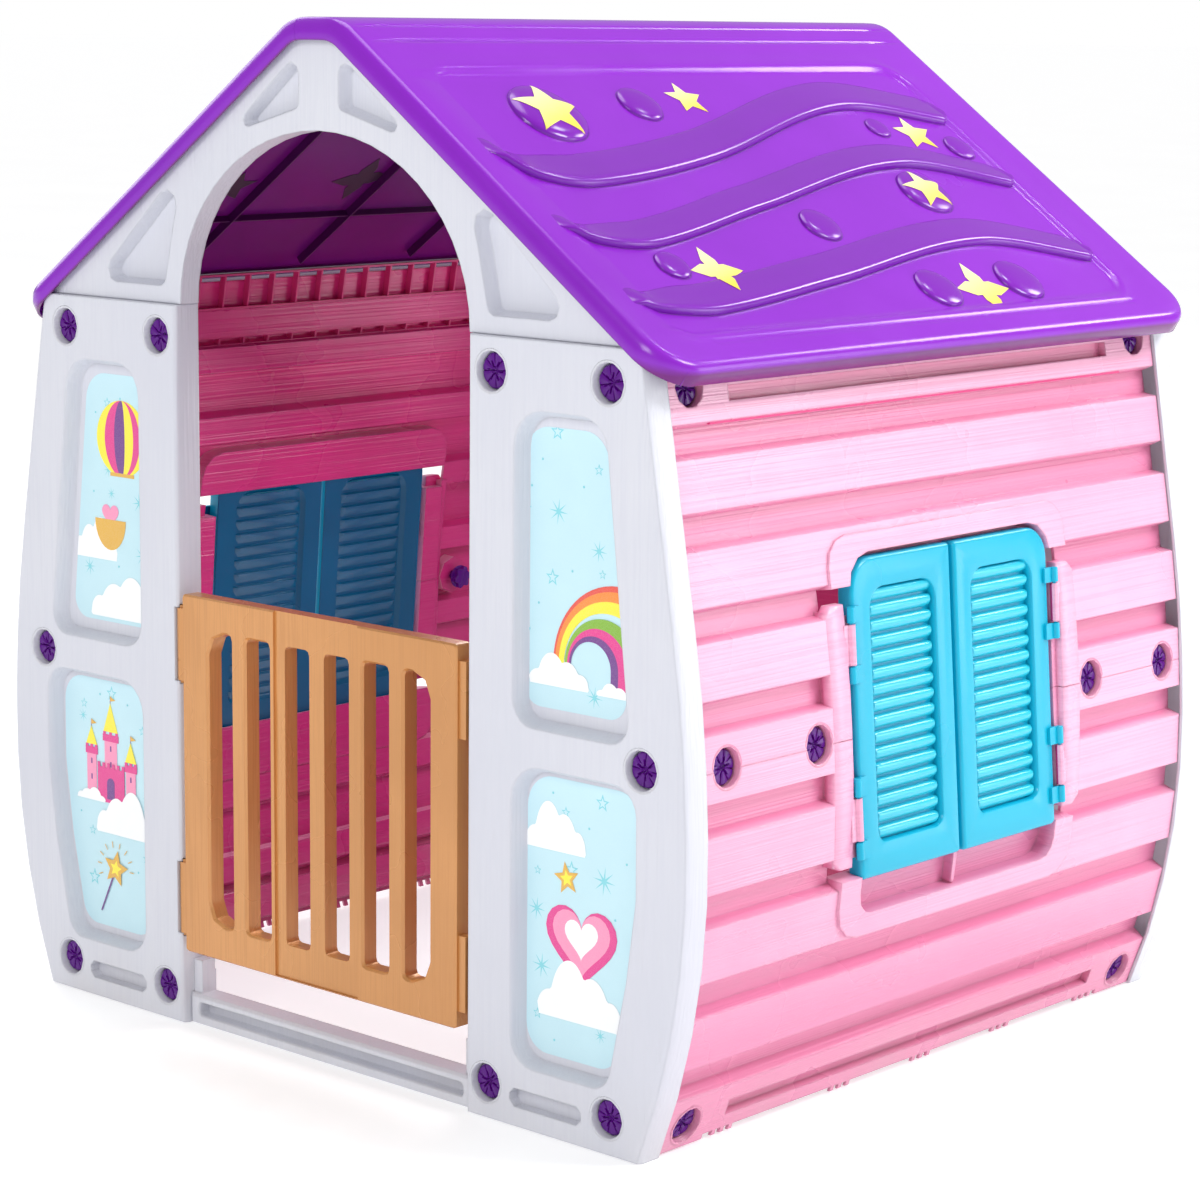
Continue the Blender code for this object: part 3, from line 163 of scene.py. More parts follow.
def plastic(
    name,
    light,
    dark,
    rough,
    grain=None,
    inside=None,
    sheen=0.5,
    metal=0.0,
    edge=0.0,
    dusty=True,
    recess_shade=None,
):
    """Moulded plastic with flow marks, scuffs and a fine skin.

    grain holds the x, y and z scale of its lines and their depth, inside the axis and the painted shade
    colour of the faces that look into the house, edge the radius of its soft edges, and the last one the
    painted shade tint of the sunk bands.
    """
    graph = Graph(name)
    shader = graph.shader
    flow = graph.noise(2.6, 4.0, roughness=0.6)
    colour = graph.mix(graph.ramp(flow, 0.35, 0.68), light, dark)
    speck = graph.noise(420.0, 2.0)
    colour = graph.mix(graph.ramp(speck, 0.45, 0.75, 0.0, 0.10), colour, dark)
    if grain:
        lines = graph.noise(1.0, 1.5, grain[:3], 0.5)
        colour = graph.mix(graph.ramp(lines, 0.46, 0.60, 0.0, 0.5), colour, dark)
    if recess_shade:
        # painted shade: the deeper bands get a stronger, darker tint than the plank faces, for the shade in
        # them
        colour = graph.mix(graph.ramp(graph.wall_depth(), 0.007, 0.015), colour, recess_shade)
    height = graph.node("SeparateXYZ", {0: graph.coords()}).outputs["Z"]
    # painted shade: faces that look into the house take a darker copy of the plastic's colour
    if inside:
        axis, inner = inside
        if axis == "under":
            facing = graph.node("SeparateXYZ", {0: graph.coords("Normal")}).outputs["Z"]
            inner_shade_mask = graph.ramp(facing, -0.15, -0.45)
        else:
            inner_shade_mask = graph.inner_mask(axis)
        patches = graph.mix(graph.ramp(graph.noise(5.0, 3.0), 0.3, 0.7), inner, [0.72 * c for c in inner])
        # painted shade: the inner faces darken towards the floor
        patches = graph.mix(graph.ramp(height, 0.62, 0.22, 0.0, 0.62), patches, [0.3 * c for c in inner])
        colour = graph.mix(inner_shade_mask, colour, patches)
    # handling dulls patches, and dust gathers low down
    scuff = graph.ramp(graph.noise(7.0, 3.0), 0.45, 0.75)
    if dusty:
        low = graph.ramp(height, 0.09, 0.0)
        dust = graph.math("MULTIPLY", low, graph.ramp(scuff, 0.0, 1.0, 0.08, 0.34))
        colour = graph.mix(dust, colour, (0.52, 0.47, 0.44))
    graph.put(shader.inputs["Base Color"], colour)
    graph.put(shader.inputs["Roughness"], graph.ramp(scuff, 0.0, 1.0, rough, rough + 0.08))
    soft_edge = graph.node("Bevel", {"Radius": edge}, samples=4).outputs["Normal"] if edge else None
    surface = graph.bump(graph.noise(900.0, 2.0), 0.05, 0.0002, soft_edge)
    surface = graph.bump(graph.noise(38.0, 2.0), 0.10, 0.0012, surface)
    if grain:
        surface = graph.bump(lines, 1.0, grain[3], surface)
    graph.put(shader.inputs["Normal"], surface)
    shader.inputs["Specular IOR Level"].default_value = sheen
    shader.inputs["Metallic"].default_value = metal
    return graph.material


def printed(name, rough=0.28):
    """Printed vinyl: the ink's colour is stored on the mesh, with slight unevenness and a skin."""
    graph = Graph(name)
    ink = graph.node("Attribute", attribute_name="ink").outputs["Color"]
    uneven = graph.ramp(graph.noise(26.0, 4.0), 0.3, 0.7, 0.0, 0.10)
    colour = graph.mix(uneven, ink, graph.mix(0.35, ink, (0.05, 0.22, 0.36)))
    dots = graph.ramp(graph.noise(1500.0, 1.0), 0.42, 0.62, 0.0, 0.06)
    colour = graph.mix(dots, colour, (1.0, 1.0, 1.0))
    graph.put(graph.shader.inputs["Base Color"], colour)
    graph.put(graph.shader.inputs["Roughness"], graph.ramp(graph.noise(14.0), 0.3, 0.7, rough, rough + 0.1))
    graph.put(graph.shader.inputs["Normal"], graph.bump(graph.noise(60.0, 2.0), 0.12, 0.0006))
    graph.shader.inputs["Coat Weight"].default_value = 0.25
    return graph.material


def floor_material():
    graph = Graph("pale_floor")
    tone = graph.ramp(graph.noise(1.4, 4.0), 0.3, 0.7)
    graph.put(graph.shader.inputs["Base Color"], graph.mix(tone, (0.60, 0.60, 0.605), (0.63, 0.63, 0.635)))
    graph.shader.inputs["Roughness"].default_value = 0.6
    graph.shader.inputs["Emission Color"].default_value = (1.0, 1.0, 1.0, 1.0)
    graph.shader.inputs["Emission Strength"].default_value = 0.48
    graph.put(graph.shader.inputs["Normal"], graph.bump(graph.noise(240.0), 0.05, 0.0005))
    return graph.material


WHITE = plastic(
    "white_plastic",
    (0.68, 0.69, 0.75),
    (0.63, 0.64, 0.715),
    0.34,
    (300.0, 300.0, 9.0, 0.0006),
    edge=0.003,
)
PINK = plastic(
    "pink_plastic",
    (0.89, 0.44, 0.62),
    (0.79, 0.33, 0.51),
    0.27,
    (6.0, 2.5, 420.0, 0.0009),
    # painted shade: the darker colour of the faces that look into the house
    ("X", (0.88, 0.040, 0.29)),
    sheen=0.7,
    edge=0.003,
    # painted shade in the sunk bands between the planks
    recess_shade=(0.77, 0.25, 0.43),
)
INFILL_PINK = plastic(
    "infill_plastic",
    (0.90, 0.40, 0.59),
    (0.84, 0.34, 0.53),
    0.28,
    (2.5, 6.0, 420.0, 0.0009),
    # painted shade: the darker colour of the faces that look into the house
    ("Y", (0.86, 0.05, 0.23)),
    edge=0.003,
)
PURPLE = plastic(
    "purple_plastic",
    (0.245, 0.014, 0.52),
    (0.215, 0.011, 0.46),
    0.20,
    # painted shade: the roof's underside takes a dark copy of the purple
    inside=("under", (0.17, 0.005, 0.20)),
    sheen=0.4,
)
# painted shade: the waves and domes take a darker copy of the roof's purple
SHADED_RELIEF_PURPLE = plastic("purple_relief_shade", (0.190, 0.007, 0.41), (0.17, 0.006, 0.37), 0.17, sheen=0.45)
# painted shade: a deep copy of the pink for the ribs inside the walls
SHADED_INNER_PINK = plastic("pink_inside_shade", (0.80, 0.045, 0.25), (0.66, 0.035, 0.20), 0.4)
# painted shade: a dark copy of the purple for the ribs under the roof
SHADED_UNDER_PURPLE = plastic("purple_underside_shade", (0.07, 0.002, 0.085), (0.05, 0.001, 0.06), 0.4, sheen=0.3)
# painted shade: a dark copy of the purple for the strips in the shaded grooves
CREASE_SHADE_PURPLE = plastic("purple_crease_shade", (0.14, 0.004, 0.30), (0.11, 0.003, 0.25), 0.4, sheen=0.2)
CYAN = plastic(
    "cyan_plastic",
    (0.003, 0.44, 0.64),
    (0.002, 0.40, 0.59),
    0.22,
    # painted shade: the darker colour of the faces that look into the house
    inside=("X", (0.0, 0.15, 0.33)),
    sheen=0.4,
)
# painted highlight: the slats are a lighter copy of the cyan plastic, for the light on their tops; their
# inner faces take painted shade
LIT_SLAT_CYAN = plastic(
    "slat_cyan_highlight",
    (0.02, 0.54, 0.70),
    (0.014, 0.49, 0.65),
    0.20,
    inside=("X", (0.0, 0.15, 0.33)),
    sheen=0.6,
)
GOLD = plastic(
    "gold_plastic",
    (0.68, 0.31, 0.095),
    (0.54, 0.235, 0.065),
    0.26,
    (420.0, 420.0, 10.0, 0.0003),
    sheen=0.9,
    metal=0.25,
    dusty=False,
)
VIOLET = plastic(
    "violet_plastic",
    (0.10, 0.002, 0.22),
    (0.07, 0.002, 0.165),
    0.24,
    sheen=0.3,
    dusty=False,
)
VINYL = printed("sticker_vinyl")
SHADE = plastic("sticker_shade", (0.035, 0.001, 0.035), (0.025, 0.001, 0.025), 0.5)


# ---------------------------------------------------------------- outlines and solids


def rounded(corners, steps):
    """An outline from corners (x, y, radius), each rounded with a few points."""
    outline = []
    for index, (x, y, radius) in enumerate(corners):
        here = Vector((x, y))
        to_before = (Vector(corners[index - 1][:2]) - here).normalized()
        to_after = (Vector(corners[(index + 1) % len(corners)][:2]) - here).normalized()
        half = to_before.angle(to_after) / 2
        centre = here + (to_before + to_after).normalized() * (radius / math.sin(half))
        start = here + to_before * (radius / math.tan(half)) - centre
        turn = start.angle_signed(here + to_after * (radius / math.tan(half)) - centre)
        for step in range(steps + 1):
            outline.append(centre + Matrix.Rotation(-turn * step / steps, 2) @ start)
    return outline


def oval(x, z, across, up, angles):
    """Points about (x, z) at the given angles, with a reach across and a reach upwards."""
    return [Vector((x + across * math.cos(a), z + up * math.sin(a))) for a in angles]


def disc(x, z, radius, count=28):
    return oval(x, z, radius, radius, [2 * math.pi * k / count for k in range(count)])


def inset(outline, distance):
    """A counter-clockwise outline moved inwards, keeping its number of points."""
    moved = []
    for index, here in enumerate(outline):
        before = (here - outline[index - 1]).normalized()
        after = (outline[(index + 1) % len(outline)] - here).normalized()
        middle = Vector((-before.y - after.y, before.x + after.x))
        moved.append(here + middle * (distance / (1 + before.dot(after))))
    return moved


def loft(shape, rings, start=True, end=True):
    """Adds a skin through rings with the same number of points, with a cap at either end."""
    layers = [[shape.verts.new(point) for point in ring] for ring in rings]
    count = len(layers[0])
    for lower, upper in zip(layers, layers[1:]):
        for index in range(count):
            after = (index + 1) % count
            shape.faces.new((lower[index], lower[after], upper[after], upper[index]))
    if start:
        shape.faces.new(list(reversed(layers[0])))
    if end:
        shape.faces.new(layers[-1])
    return layers


def mesh_of(name, shape, material, sharp):
    """The finished mesh, smooth but for edges sharper than the given angle."""
    bmesh.ops.recalc_face_normals(shape, faces=shape.faces)
    mesh = bpy.data.meshes.new(name)
    shape.to_mesh(mesh)
    shape.free()
    mesh.shade_smooth()
    mesh.set_sharp_from_angle(angle=math.radians(sharp))
    mesh.materials.append(material)
    return mesh


def linked(name, data):
    item = bpy.data.objects.new(name, data)
    bpy.context.scene.collection.objects.link(item)
    return item


def piece(name, shape, material, body=HOUSE, sharp=40.0):
    item = linked(name, mesh_of(name, shape, material, sharp))
    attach(item, body)
    return item


def thicken(item, thickness, offset):
    skin = item.modifiers.new("skin", "SOLIDIFY")
    skin.thickness = thickness
    skin.offset = offset


# ---------------------------------------------------------------- CAD nodes that stay


def dress_nodes():
    plastics = {
        "panel": WHITE,
        "gable": WHITE,
        "sill": WHITE,
        "wall_": PINK,
        "infill": INFILL_PINK,
        "gate": GOLD,
    }
    for name, item in NODES.items():
        for key, material in plastics.items():
            if key in name and "bolt" not in name:
                item.data.materials.clear()
                item.data.materials.append(material)
                weld = item.modifiers.new("weld", "WELD")
                weld.merge_threshold = 0.00001
                split = item.modifiers.new("split", "EDGE_SPLIT")
                split.split_angle = math.radians(24)
                normals = item.modifiers.new("normals", "WEIGHTED_NORMAL")
                normals.keep_sharp = True
                item.data.shade_smooth()


# ---------------------------------------------------------------- roof

ROOF_SLOPE = math.radians(35.3)
BEND_RADIUS = 0.060
ROOF_SKIN = 0.008
LIP_DEPTH = 0.023
EAVE_CORNER = 0.050
EDGE_FILLET = 0.011
# width of the lip where it leaves the skin and at its foot
LIP_WIDTH = 0.0042
LIP_FOOT = 0.0036
ROOF_GAP = 0.0003
FIELD_DEPTH = 0.0035
FIELD = (-0.405, 0.372, 0.118, 0.540)  # ends along the house, then upper and lower edge
FIELD_RADIUS = 0.042
GROOVES = ((0.048, 0.420), (0.073, 0.412), (0.5505, 0.360))  # distance along, half length
# centre (y, along) and radius
DOMES = (
    (-0.276, 0.193, 0.045),
    (-0.125, 0.180, 0.027),
    (0.230, 0.230, 0.016),
    (0.340, 0.270, 0.020),
    (0.194, 0.345, 0.035),
    (-0.033, 0.389, 0.025),
    (-0.310, 0.435, 0.020),
    (0.052, 0.500, 0.029),
    (0.198, 0.498, 0.031),
)
DOME_SHARES = (1.02, 1.0, 0.99, 0.97, 0.94, 0.9, 0.84, 0.76, 0.66, 0.54, 0.4, 0.25, 0.1, 0.02)
# each wave's lower edge passes these heights at WAVE_Y, and then comes its width
WAVE_Y = (-0.419, -0.375, -0.305, -0.100, 0.195, 0.375)
WAVES = (
    ((0.253, 0.296, 0.311, 0.279, 0.197, 0.231), 0.052),
    ((0.371, 0.399, 0.407, 0.361, 0.301, 0.348), 0.042),
    ((0.488, 0.503, 0.510, 0.481, 0.437, 0.482), 0.046),
)
WAVE_START = FIELD[0] - 0.012
WAVE_END = FIELD[1] - 0.001
# share of the wave's width from its lower edge, and height above the field
WAVE_PROFILE = (
    (1.00, 0.0000),
    (0.97, 0.0016),
    (0.92, 0.0022),
    (0.60, 0.0042),
    (0.35, 0.0060),
    (0.20, 0.0072),
    (0.12, 0.0075),
    (0.06, 0.0068),
    (0.02, 0.0048),
    (0.0, 0.0010),
)
# centre (y, along), points, outer radius and turn in degrees of each star sticker
SHARED_STARS = (
    (-0.276, 0.193, 5, 0.0435, 10),
    (-0.042, 0.171, 5, 0.028, 5),
    (-0.254, 0.447, 4, 0.037, 5),
)
STARS = (
    *SHARED_STARS,
    (0.287, 0.242, 5, 0.031, 5),
    (0.194, 0.345, 5, 0.0335, 0),
    (0.125, 0.506, 4, 0.043, 5),
)
# silhouettes seen through the left slope
LEFT_SHADES = (
    *SHARED_STARS,
    (0.308, 0.339, 5, 0.031, 5),
    (0.120, 0.331, 4, 0.043, 5),
)
STAR_PARTS = 6
UNDER_FIELD = ROOF_SKIN + FIELD_DEPTH * 0.6 + 0.0003
RIDGE_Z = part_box("roof_right")[1].z
EAVE_X = 0.4845
APEX_Z = RIDGE_Z + 0.025
FLAT_END = (APEX_Z - RIDGE_Z) / math.tan(ROOF_SLOPE) - BEND_RADIUS * math.tan(ROOF_SLOPE / 2)
BEND_END = FLAT_END + BEND_RADIUS * ROOF_SLOPE
BEND_X = FLAT_END + BEND_RADIUS * math.sin(ROOF_SLOPE)
BEND_Z = RIDGE_Z - BEND_RADIUS * (1 - math.cos(ROOF_SLOPE))
EAVE = BEND_END + (EAVE_X - BEND_X) / math.cos(ROOF_SLOPE)
ROOF_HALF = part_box("roof_right")[1].y
SEAM = {RIGHT: -0.025, LEFT: 0.025 + ROOF_GAP}


def roof_point(side, y, along, depth):
    """A point of the roof from its place along the house, the distance from the ridge and the depth."""
    across = -side if along < 0 else side
    along = abs(along)
    if along <= FLAT_END:
        x, z, slope = along, RIDGE_Z, 0.0
    elif along <= BEND_END:
        slope = (along - FLAT_END) / BEND_RADIUS
        x = FLAT_END + BEND_RADIUS * math.sin(slope)
        z = RIDGE_Z - BEND_RADIUS * (1 - math.cos(slope))
    else:
        slope = ROOF_SLOPE
        x = BEND_X + (along - BEND_END) * math.cos(slope)
        z = BEND_Z - (along - BEND_END) * math.sin(slope)
    return Vector((across * (x - depth * math.sin(slope)), y, z - depth * math.cos(slope)))


def smooth(value):
    value = min(max(value, 0.0), 1.0)
    return value * value * (3 - 2 * value)


def curve_at(heights, y):
    """Height of a smooth curve through the wave's points at y."""
    index = 0
    while index < len(WAVE_Y) - 2 and y > WAVE_Y[index + 1]:
        index += 1
    before = max(index - 1, 0)
    after = min(index + 2, len(WAVE_Y) - 1)
    width = WAVE_Y[index + 1] - WAVE_Y[index]
    part = min(max((y - WAVE_Y[index]) / width, 0.0), 1.0)
    first = (heights[index + 1] - heights[before]) / (WAVE_Y[index + 1] - WAVE_Y[before]) * width
    second = (heights[after] - heights[index]) / (WAVE_Y[after] - WAVE_Y[index]) * width
    square, cube = part * part, part * part * part
    return (
        heights[index] * (2 * cube - 3 * square + 1)
        + first * (cube - 2 * square + part)
        + heights[index + 1] * (3 * square - 2 * cube)
        + second * (cube - square)
    )


def wave_section(wave, y):
    """Lower edge, width and swell of a wave at y: narrow at the front, rounded at the rear end."""
    heights, width = wave
    width *= 0.55 + 0.45 * smooth((y - WAVE_START) / 0.090)
    over = max(y - (WAVE_END - 0.016), 0.0) / 0.016
    rounding = math.sqrt(max(1 - over * over, 0.0))
    low = curve_at(heights, y) - width * (1 - rounding) / 2
    swell = smooth((y - WAVE_START) / 0.020) * (0.25 + 0.75 * rounding)
    return low, max(width * rounding, 0.0005), swell


def wave_rise(y, along):
    """Height of the waves above the field at a point of the roof."""
    for wave in WAVES:
        low, width, swell = wave_section(wave, y)
        share = (low - along) / width
        if WAVE_START < y < WAVE_END and 0 <= share <= 1:
            for (high, top), (base, foot) in zip(WAVE_PROFILE, WAVE_PROFILE[1:]):
                if share >= base:
                    return swell * (foot + (top - foot) * (share - base) / (high - base))
    return 0.0


def field_depth(y, along):
    """Depth of the sunk field, with soft edges, and of the grooves above and below it."""
    half_y = (FIELD[1] - FIELD[0]) / 2 - FIELD_RADIUS
    half_s = (FIELD[3] - FIELD[2]) / 2 - FIELD_RADIUS
    dy = abs(y - (FIELD[0] + FIELD[1]) / 2) - half_y
    ds = abs(along - (FIELD[2] + FIELD[3]) / 2) - half_s
    outside = math.hypot(max(dy, 0.0), max(ds, 0.0)) + min(max(dy, ds), 0.0) - FIELD_RADIUS
    depth = FIELD_DEPTH * smooth(-outside / 0.010)
    # a soft raised bead runs round the field
    depth -= 0.0008 * smooth(1 - abs(outside - 0.004) / 0.008)
    for line, reach in GROOVES:
        ends = smooth((reach - abs(y)) / 0.006)
        depth += 0.0016 * ends * smooth(1 - abs(along - line) / 0.0022)
    return depth


def spaced(marks, step, fine, reach):
    """Rising numbers over a range, a step apart, and closer together near the marks."""
    low, high = marks[0], marks[-1]
    values = [low]
    while values[-1] < high - 1e-9:
        near = min(abs(values[-1] - mark) for mark in marks[1:-1]) < reach
        values.append(min(values[-1] + (fine if near else step), high))
    return values


def roof_reach(along):
    """Half the roof's length at a distance from the ridge, less where the corners turn."""
    over = along - (EAVE - EAVE_CORNER)
    if over <= 0:
        return ROOF_HALF
    return ROOF_HALF - EAVE_CORNER + math.sqrt(max(EAVE_CORNER**2 - over**2, 0.0))


def edge_distance(y, along):
    dy = abs(y) - (ROOF_HALF - EAVE_CORNER)
    ds = along - (EAVE - EAVE_CORNER)
    if dy > 0 and ds > 0:
        return EAVE_CORNER - math.hypot(dy, ds)
    return EAVE_CORNER - max(dy, ds)


def roof_rows(side):
    """Distances from the ridge, close together at the field's edges, grooves and turning corners."""
    marks = (FIELD[2] + 0.01, FIELD[2] + 0.03, FIELD[3] - 0.03, FIELD[3] - 0.01)
    alongs = spaced((SEAM[side], 0.035, *marks, EAVE - 0.035, EAVE), 0.012, 0.0035, 0.019)
    for line, _ in GROOVES:
        alongs = [value for value in alongs if abs(value - line) > 0.003]
        alongs += [line + offset for offset in (-0.0022, -0.0011, 0.0, 0.0011, 0.0022)]
    alongs = sorted(value for value in alongs if value < EAVE - EAVE_CORNER - 0.003)
    turns = [math.pi / 2 * step / 20 for step in range(21)]
    return alongs + [EAVE - EAVE_CORNER * (1 - math.sin(turn)) for turn in turns]


def inner_reach(along):
    """Half the roof's length at the corners' inner turn, which starts a little higher."""
    return roof_reach(min(along, EAVE - 0.006))


def roof_sheets(shape, side, alongs, shares):
    """Rows of points on the top and on the underside, with faces between them."""
    top, under = [], []
    for along in alongs:
        top_row, under_row = [], []
        for share in shares:
            y = share * roof_reach(along)
            inside = min(max(edge_distance(y, along), 0.0), EDGE_FILLET)
            drop = EDGE_FILLET - math.sqrt(EDGE_FILLET**2 - (EDGE_FILLET - inside) ** 2)
            relief = field_depth(side * y, along)
            top_row.append(shape.verts.new(roof_point(side, y, along, drop + relief)))
            inner_y = share * (inner_reach(along) - LIP_WIDTH)
            inner_along = min(along, EAVE - LIP_WIDTH)
            spot = roof_point(side, inner_y, inner_along, ROOF_SKIN + relief * 0.6)
            under_row.append(shape.verts.new(spot))
        top.append(top_row)
        under.append(under_row)
    for i in range(len(alongs) - 1):
        for j in range(len(shares) - 1):
            shape.faces.new((top[i][j], top[i + 1][j], top[i + 1][j + 1], top[i][j + 1]))
            shape.faces.new((under[i][j], under[i][j + 1], under[i + 1][j + 1], under[i + 1][j]))
    return top, under


def roof_lip(shape, side, alongs, shares, top, under):
    """The lip down both ends and along the eave, from the top's edge to the underside's."""
    rows, columns = len(alongs), len(shares)
    border = [(i, 0) for i in range(rows)]
    border += [(rows - 1, j) for j in range(1, columns)]
    border += [(i, columns - 1) for i in range(rows - 2, -1, -1)]
    lips = []
    for i, j in border:
        along = alongs[i]
        y = shares[j] * roof_reach(along)
        inner_y = shares[j] * (inner_reach(along) - LIP_FOOT)
        outer = shape.verts.new(roof_point(side, y, along, LIP_DEPTH - 0.0015))
        foot = shape.verts.new(roof_point(side, y * 0.9985, min(along, EAVE - 0.0012), LIP_DEPTH))
        inner = shape.verts.new(roof_point(side, inner_y, min(along, EAVE - LIP_FOOT), LIP_DEPTH))
        lips.append((top[i][j], outer, foot, inner, under[i][j]))
    for first, second in zip(lips, lips[1:]):
        for k in range(4):
            shape.faces.new((first[k], first[k + 1], second[k + 1], second[k]))
    shape.faces.new(lips[0])
    shape.faces.new(list(reversed(lips[-1])))


def build_roof(name, side):
    alongs = roof_rows(side)
    edge = ROOF_HALF - EDGE_FILLET / 2
    ys = spaced((-ROOF_HALF, -edge, -0.39, -0.37, 0.345, 0.363, edge, ROOF_HALF), 0.020, 0.0035, 0.014)
    shares = [y / ROOF_HALF for y in ys]
    shape = bmesh.new()
    top, under = roof_sheets(shape, side, alongs, shares)
    roof_lip(shape, side, alongs, shares, top, under)
    # the seam's edge closes the panel at the ridge
    for j in range(len(shares) - 1):
        shape.faces.new((top[0][j], top[0][j + 1], under[0][j + 1], under[0][j]))
    bmesh.ops.remove_doubles(shape, verts=shape.verts, dist=0.00002)
    item = piece(f"{name}_panel", shape, PURPLE, sharp=50.0)
    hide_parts(name)
    relief = bmesh.new()
    add_waves(relief, side)
    add_domes(relief, side)
    item = piece(f"{name}_relief", relief, SHADED_RELIEF_PURPLE, sharp=50.0)


def add_waves(shape, side):
    """Three raised bands across the slope, thin at their upper edge and thick at the lower one."""
    stations = 96
    for wave in WAVES:
        rings = []
        for number in range(stations + 1):
            # stations crowd together towards the rounded rear end
            part = math.sin(math.pi / 2 * number / stations)
            y = WAVE_START + (WAVE_END - WAVE_START) * part
            low, width, swell = wave_section(wave, y)
            ring = []
            for share, height in WAVE_PROFILE:
                along = low - share * width
                depth = field_depth(y, along) - height * swell
                ring.append(roof_point(side, side * y, along, depth))
            ring.append(roof_point(side, side * y, low, FIELD_DEPTH + 0.002))
            ring.append(roof_point(side, side * y, low - width, FIELD_DEPTH + 0.002))
            rings.append(ring)
        loft(shape, rings)


def dome_height(distance, radius):
    return 0.0014 + 0.15 * radius * math.sqrt(max(1 - (distance / radius) ** 3, 0.0))


def add_domes(shape, side):
    for y0, along0, radius in DOMES:
        rings = []
        for part in DOME_SHARES:
            distance = radius * part
            depth = FIELD_DEPTH - dome_height(distance, radius)
            if part > 1.0:
                depth = FIELD_DEPTH + 0.0010
            rings.append([roof_point(side, side * p.x, p.y, depth) for p in disc(y0, along0, distance, 48)])
        loft(shape, rings)


def crease_shading_strips():
    """Pairs of points across each crease's painted shade strip, and whether it closes on itself."""
    strips = []
    for wave in WAVES:
        line = []
        for number in range(97):
            y = WAVE_START + (WAVE_END - WAVE_START) * (0.02 + 0.975 * number / 96)
            low, _, swell = wave_section(wave, y)
            line.append((Vector((y, low - 0.0004)), Vector((y, low + 0.0017 * swell))))
        strips.append((line, False))
    for y0, along0, radius in DOMES:
        line = []
        for ray in disc(0.0, 0.0, 1.0, 48):
            # the painted shade is widest on the side that looks down the slope
            width = 0.0012 + 0.0008 * ray.y
            centre = Vector((y0, along0))
            line.append((centre + ray * (radius - 0.0004), centre + ray * (radius + width)))
        strips.append((line, True))
    return strips


def build_crease_shading(name, side):
    """Painted shade: dark strips along the waves' lower edges and round the domes, for their shaded
    grooves.
    """
    shape = bmesh.new()
    for line, closed in crease_shading_strips():
        pairs = []
        for pair in line:
            depths = [field_depth(spot.x, spot.y) - 0.00012 for spot in pair]
            spots = [roof_point(side, side * spot.x, spot.y, depth) for spot, depth in zip(pair, depths)]
            pairs.append([shape.verts.new(spot) for spot in spots])
        following = pairs[1:] + pairs[:1] if closed else pairs[1:]
        for first, second in zip(pairs, following):
            shape.faces.new((first[0], first[1], second[1], second[0]))
    item = piece(name, shape, CREASE_SHADE_PURPLE)
    for polygon in item.data.polygons:
        if polygon.normal.z < 0:
            polygon.flip()
    thicken(item, 0.0001, -1.0)


def build_under_ribs(name, side):
    """Ribs down the underside of the slope and two across it."""
    stations = (0.090, 0.200, 0.310, 0.420, 0.500)
    down = [[(y, along) for along in stations] for y in (-0.27, -0.09, 0.09, 0.27)]
    across = [[(y, along) for y in (-0.385, 0.385)] for along in (0.210, 0.400)]
    shape = bmesh.new()
    for ribs, dy, ds, reach in ((down, 1, 0, 0.019), (across, 0, 1, 0.017)):
        section = ((-0.0018, ROOF_SKIN), (0.0018, ROOF_SKIN), (0.0012, reach), (-0.0012, reach))
        for rib in ribs:
            rings = []
            for y, along in rib:
                corner_spots = [(y + dy * off, along + ds * off, depth) for off, depth in section]
                rings.append([roof_point(side, *spot) for spot in corner_spots])
            loft(shape, rings)
    item = piece(name, shape, SHADED_UNDER_PURPLE, sharp=30.0)


def star(y0, along0, points, outer, turn, inner_share):
    """Outline of a star; its four-pointed form has sides that curve inwards."""
    # share of the way to the next tip, and share of the outer radius
    profile = ((0.0, 1.0), (0.5, inner_share))
    if points == 4:
        profile = ((0.0, 1.0), (0.35, 0.52), (0.5, inner_share), (0.65, 0.52))
    outline = []
    for number in range(points):
        for share, pull in profile:
            angle = math.radians(turn) - math.pi / 2 + 2 * math.pi * (number + share) / points
            reach = outer * pull
            outline.append(Vector((y0 + reach * math.cos(angle), along0 + reach * math.sin(angle))))
    fine = []
    for first, second in zip(outline, outline[1:] + outline[:1]):
        fine += [first.lerp(second, step / STAR_PARTS) for step in range(STAR_PARTS)]
    return fine


def roof_surface(y, along):
    """Depth of the roof's surface: on a dome, on a wave or on the field between them."""
    for y0, along0, radius in DOMES:
        distance = math.hypot(y - y0, along - along0)
        if distance < radius:
            return FIELD_DEPTH - dome_height(distance, radius)
    return FIELD_DEPTH - wave_rise(y, along)


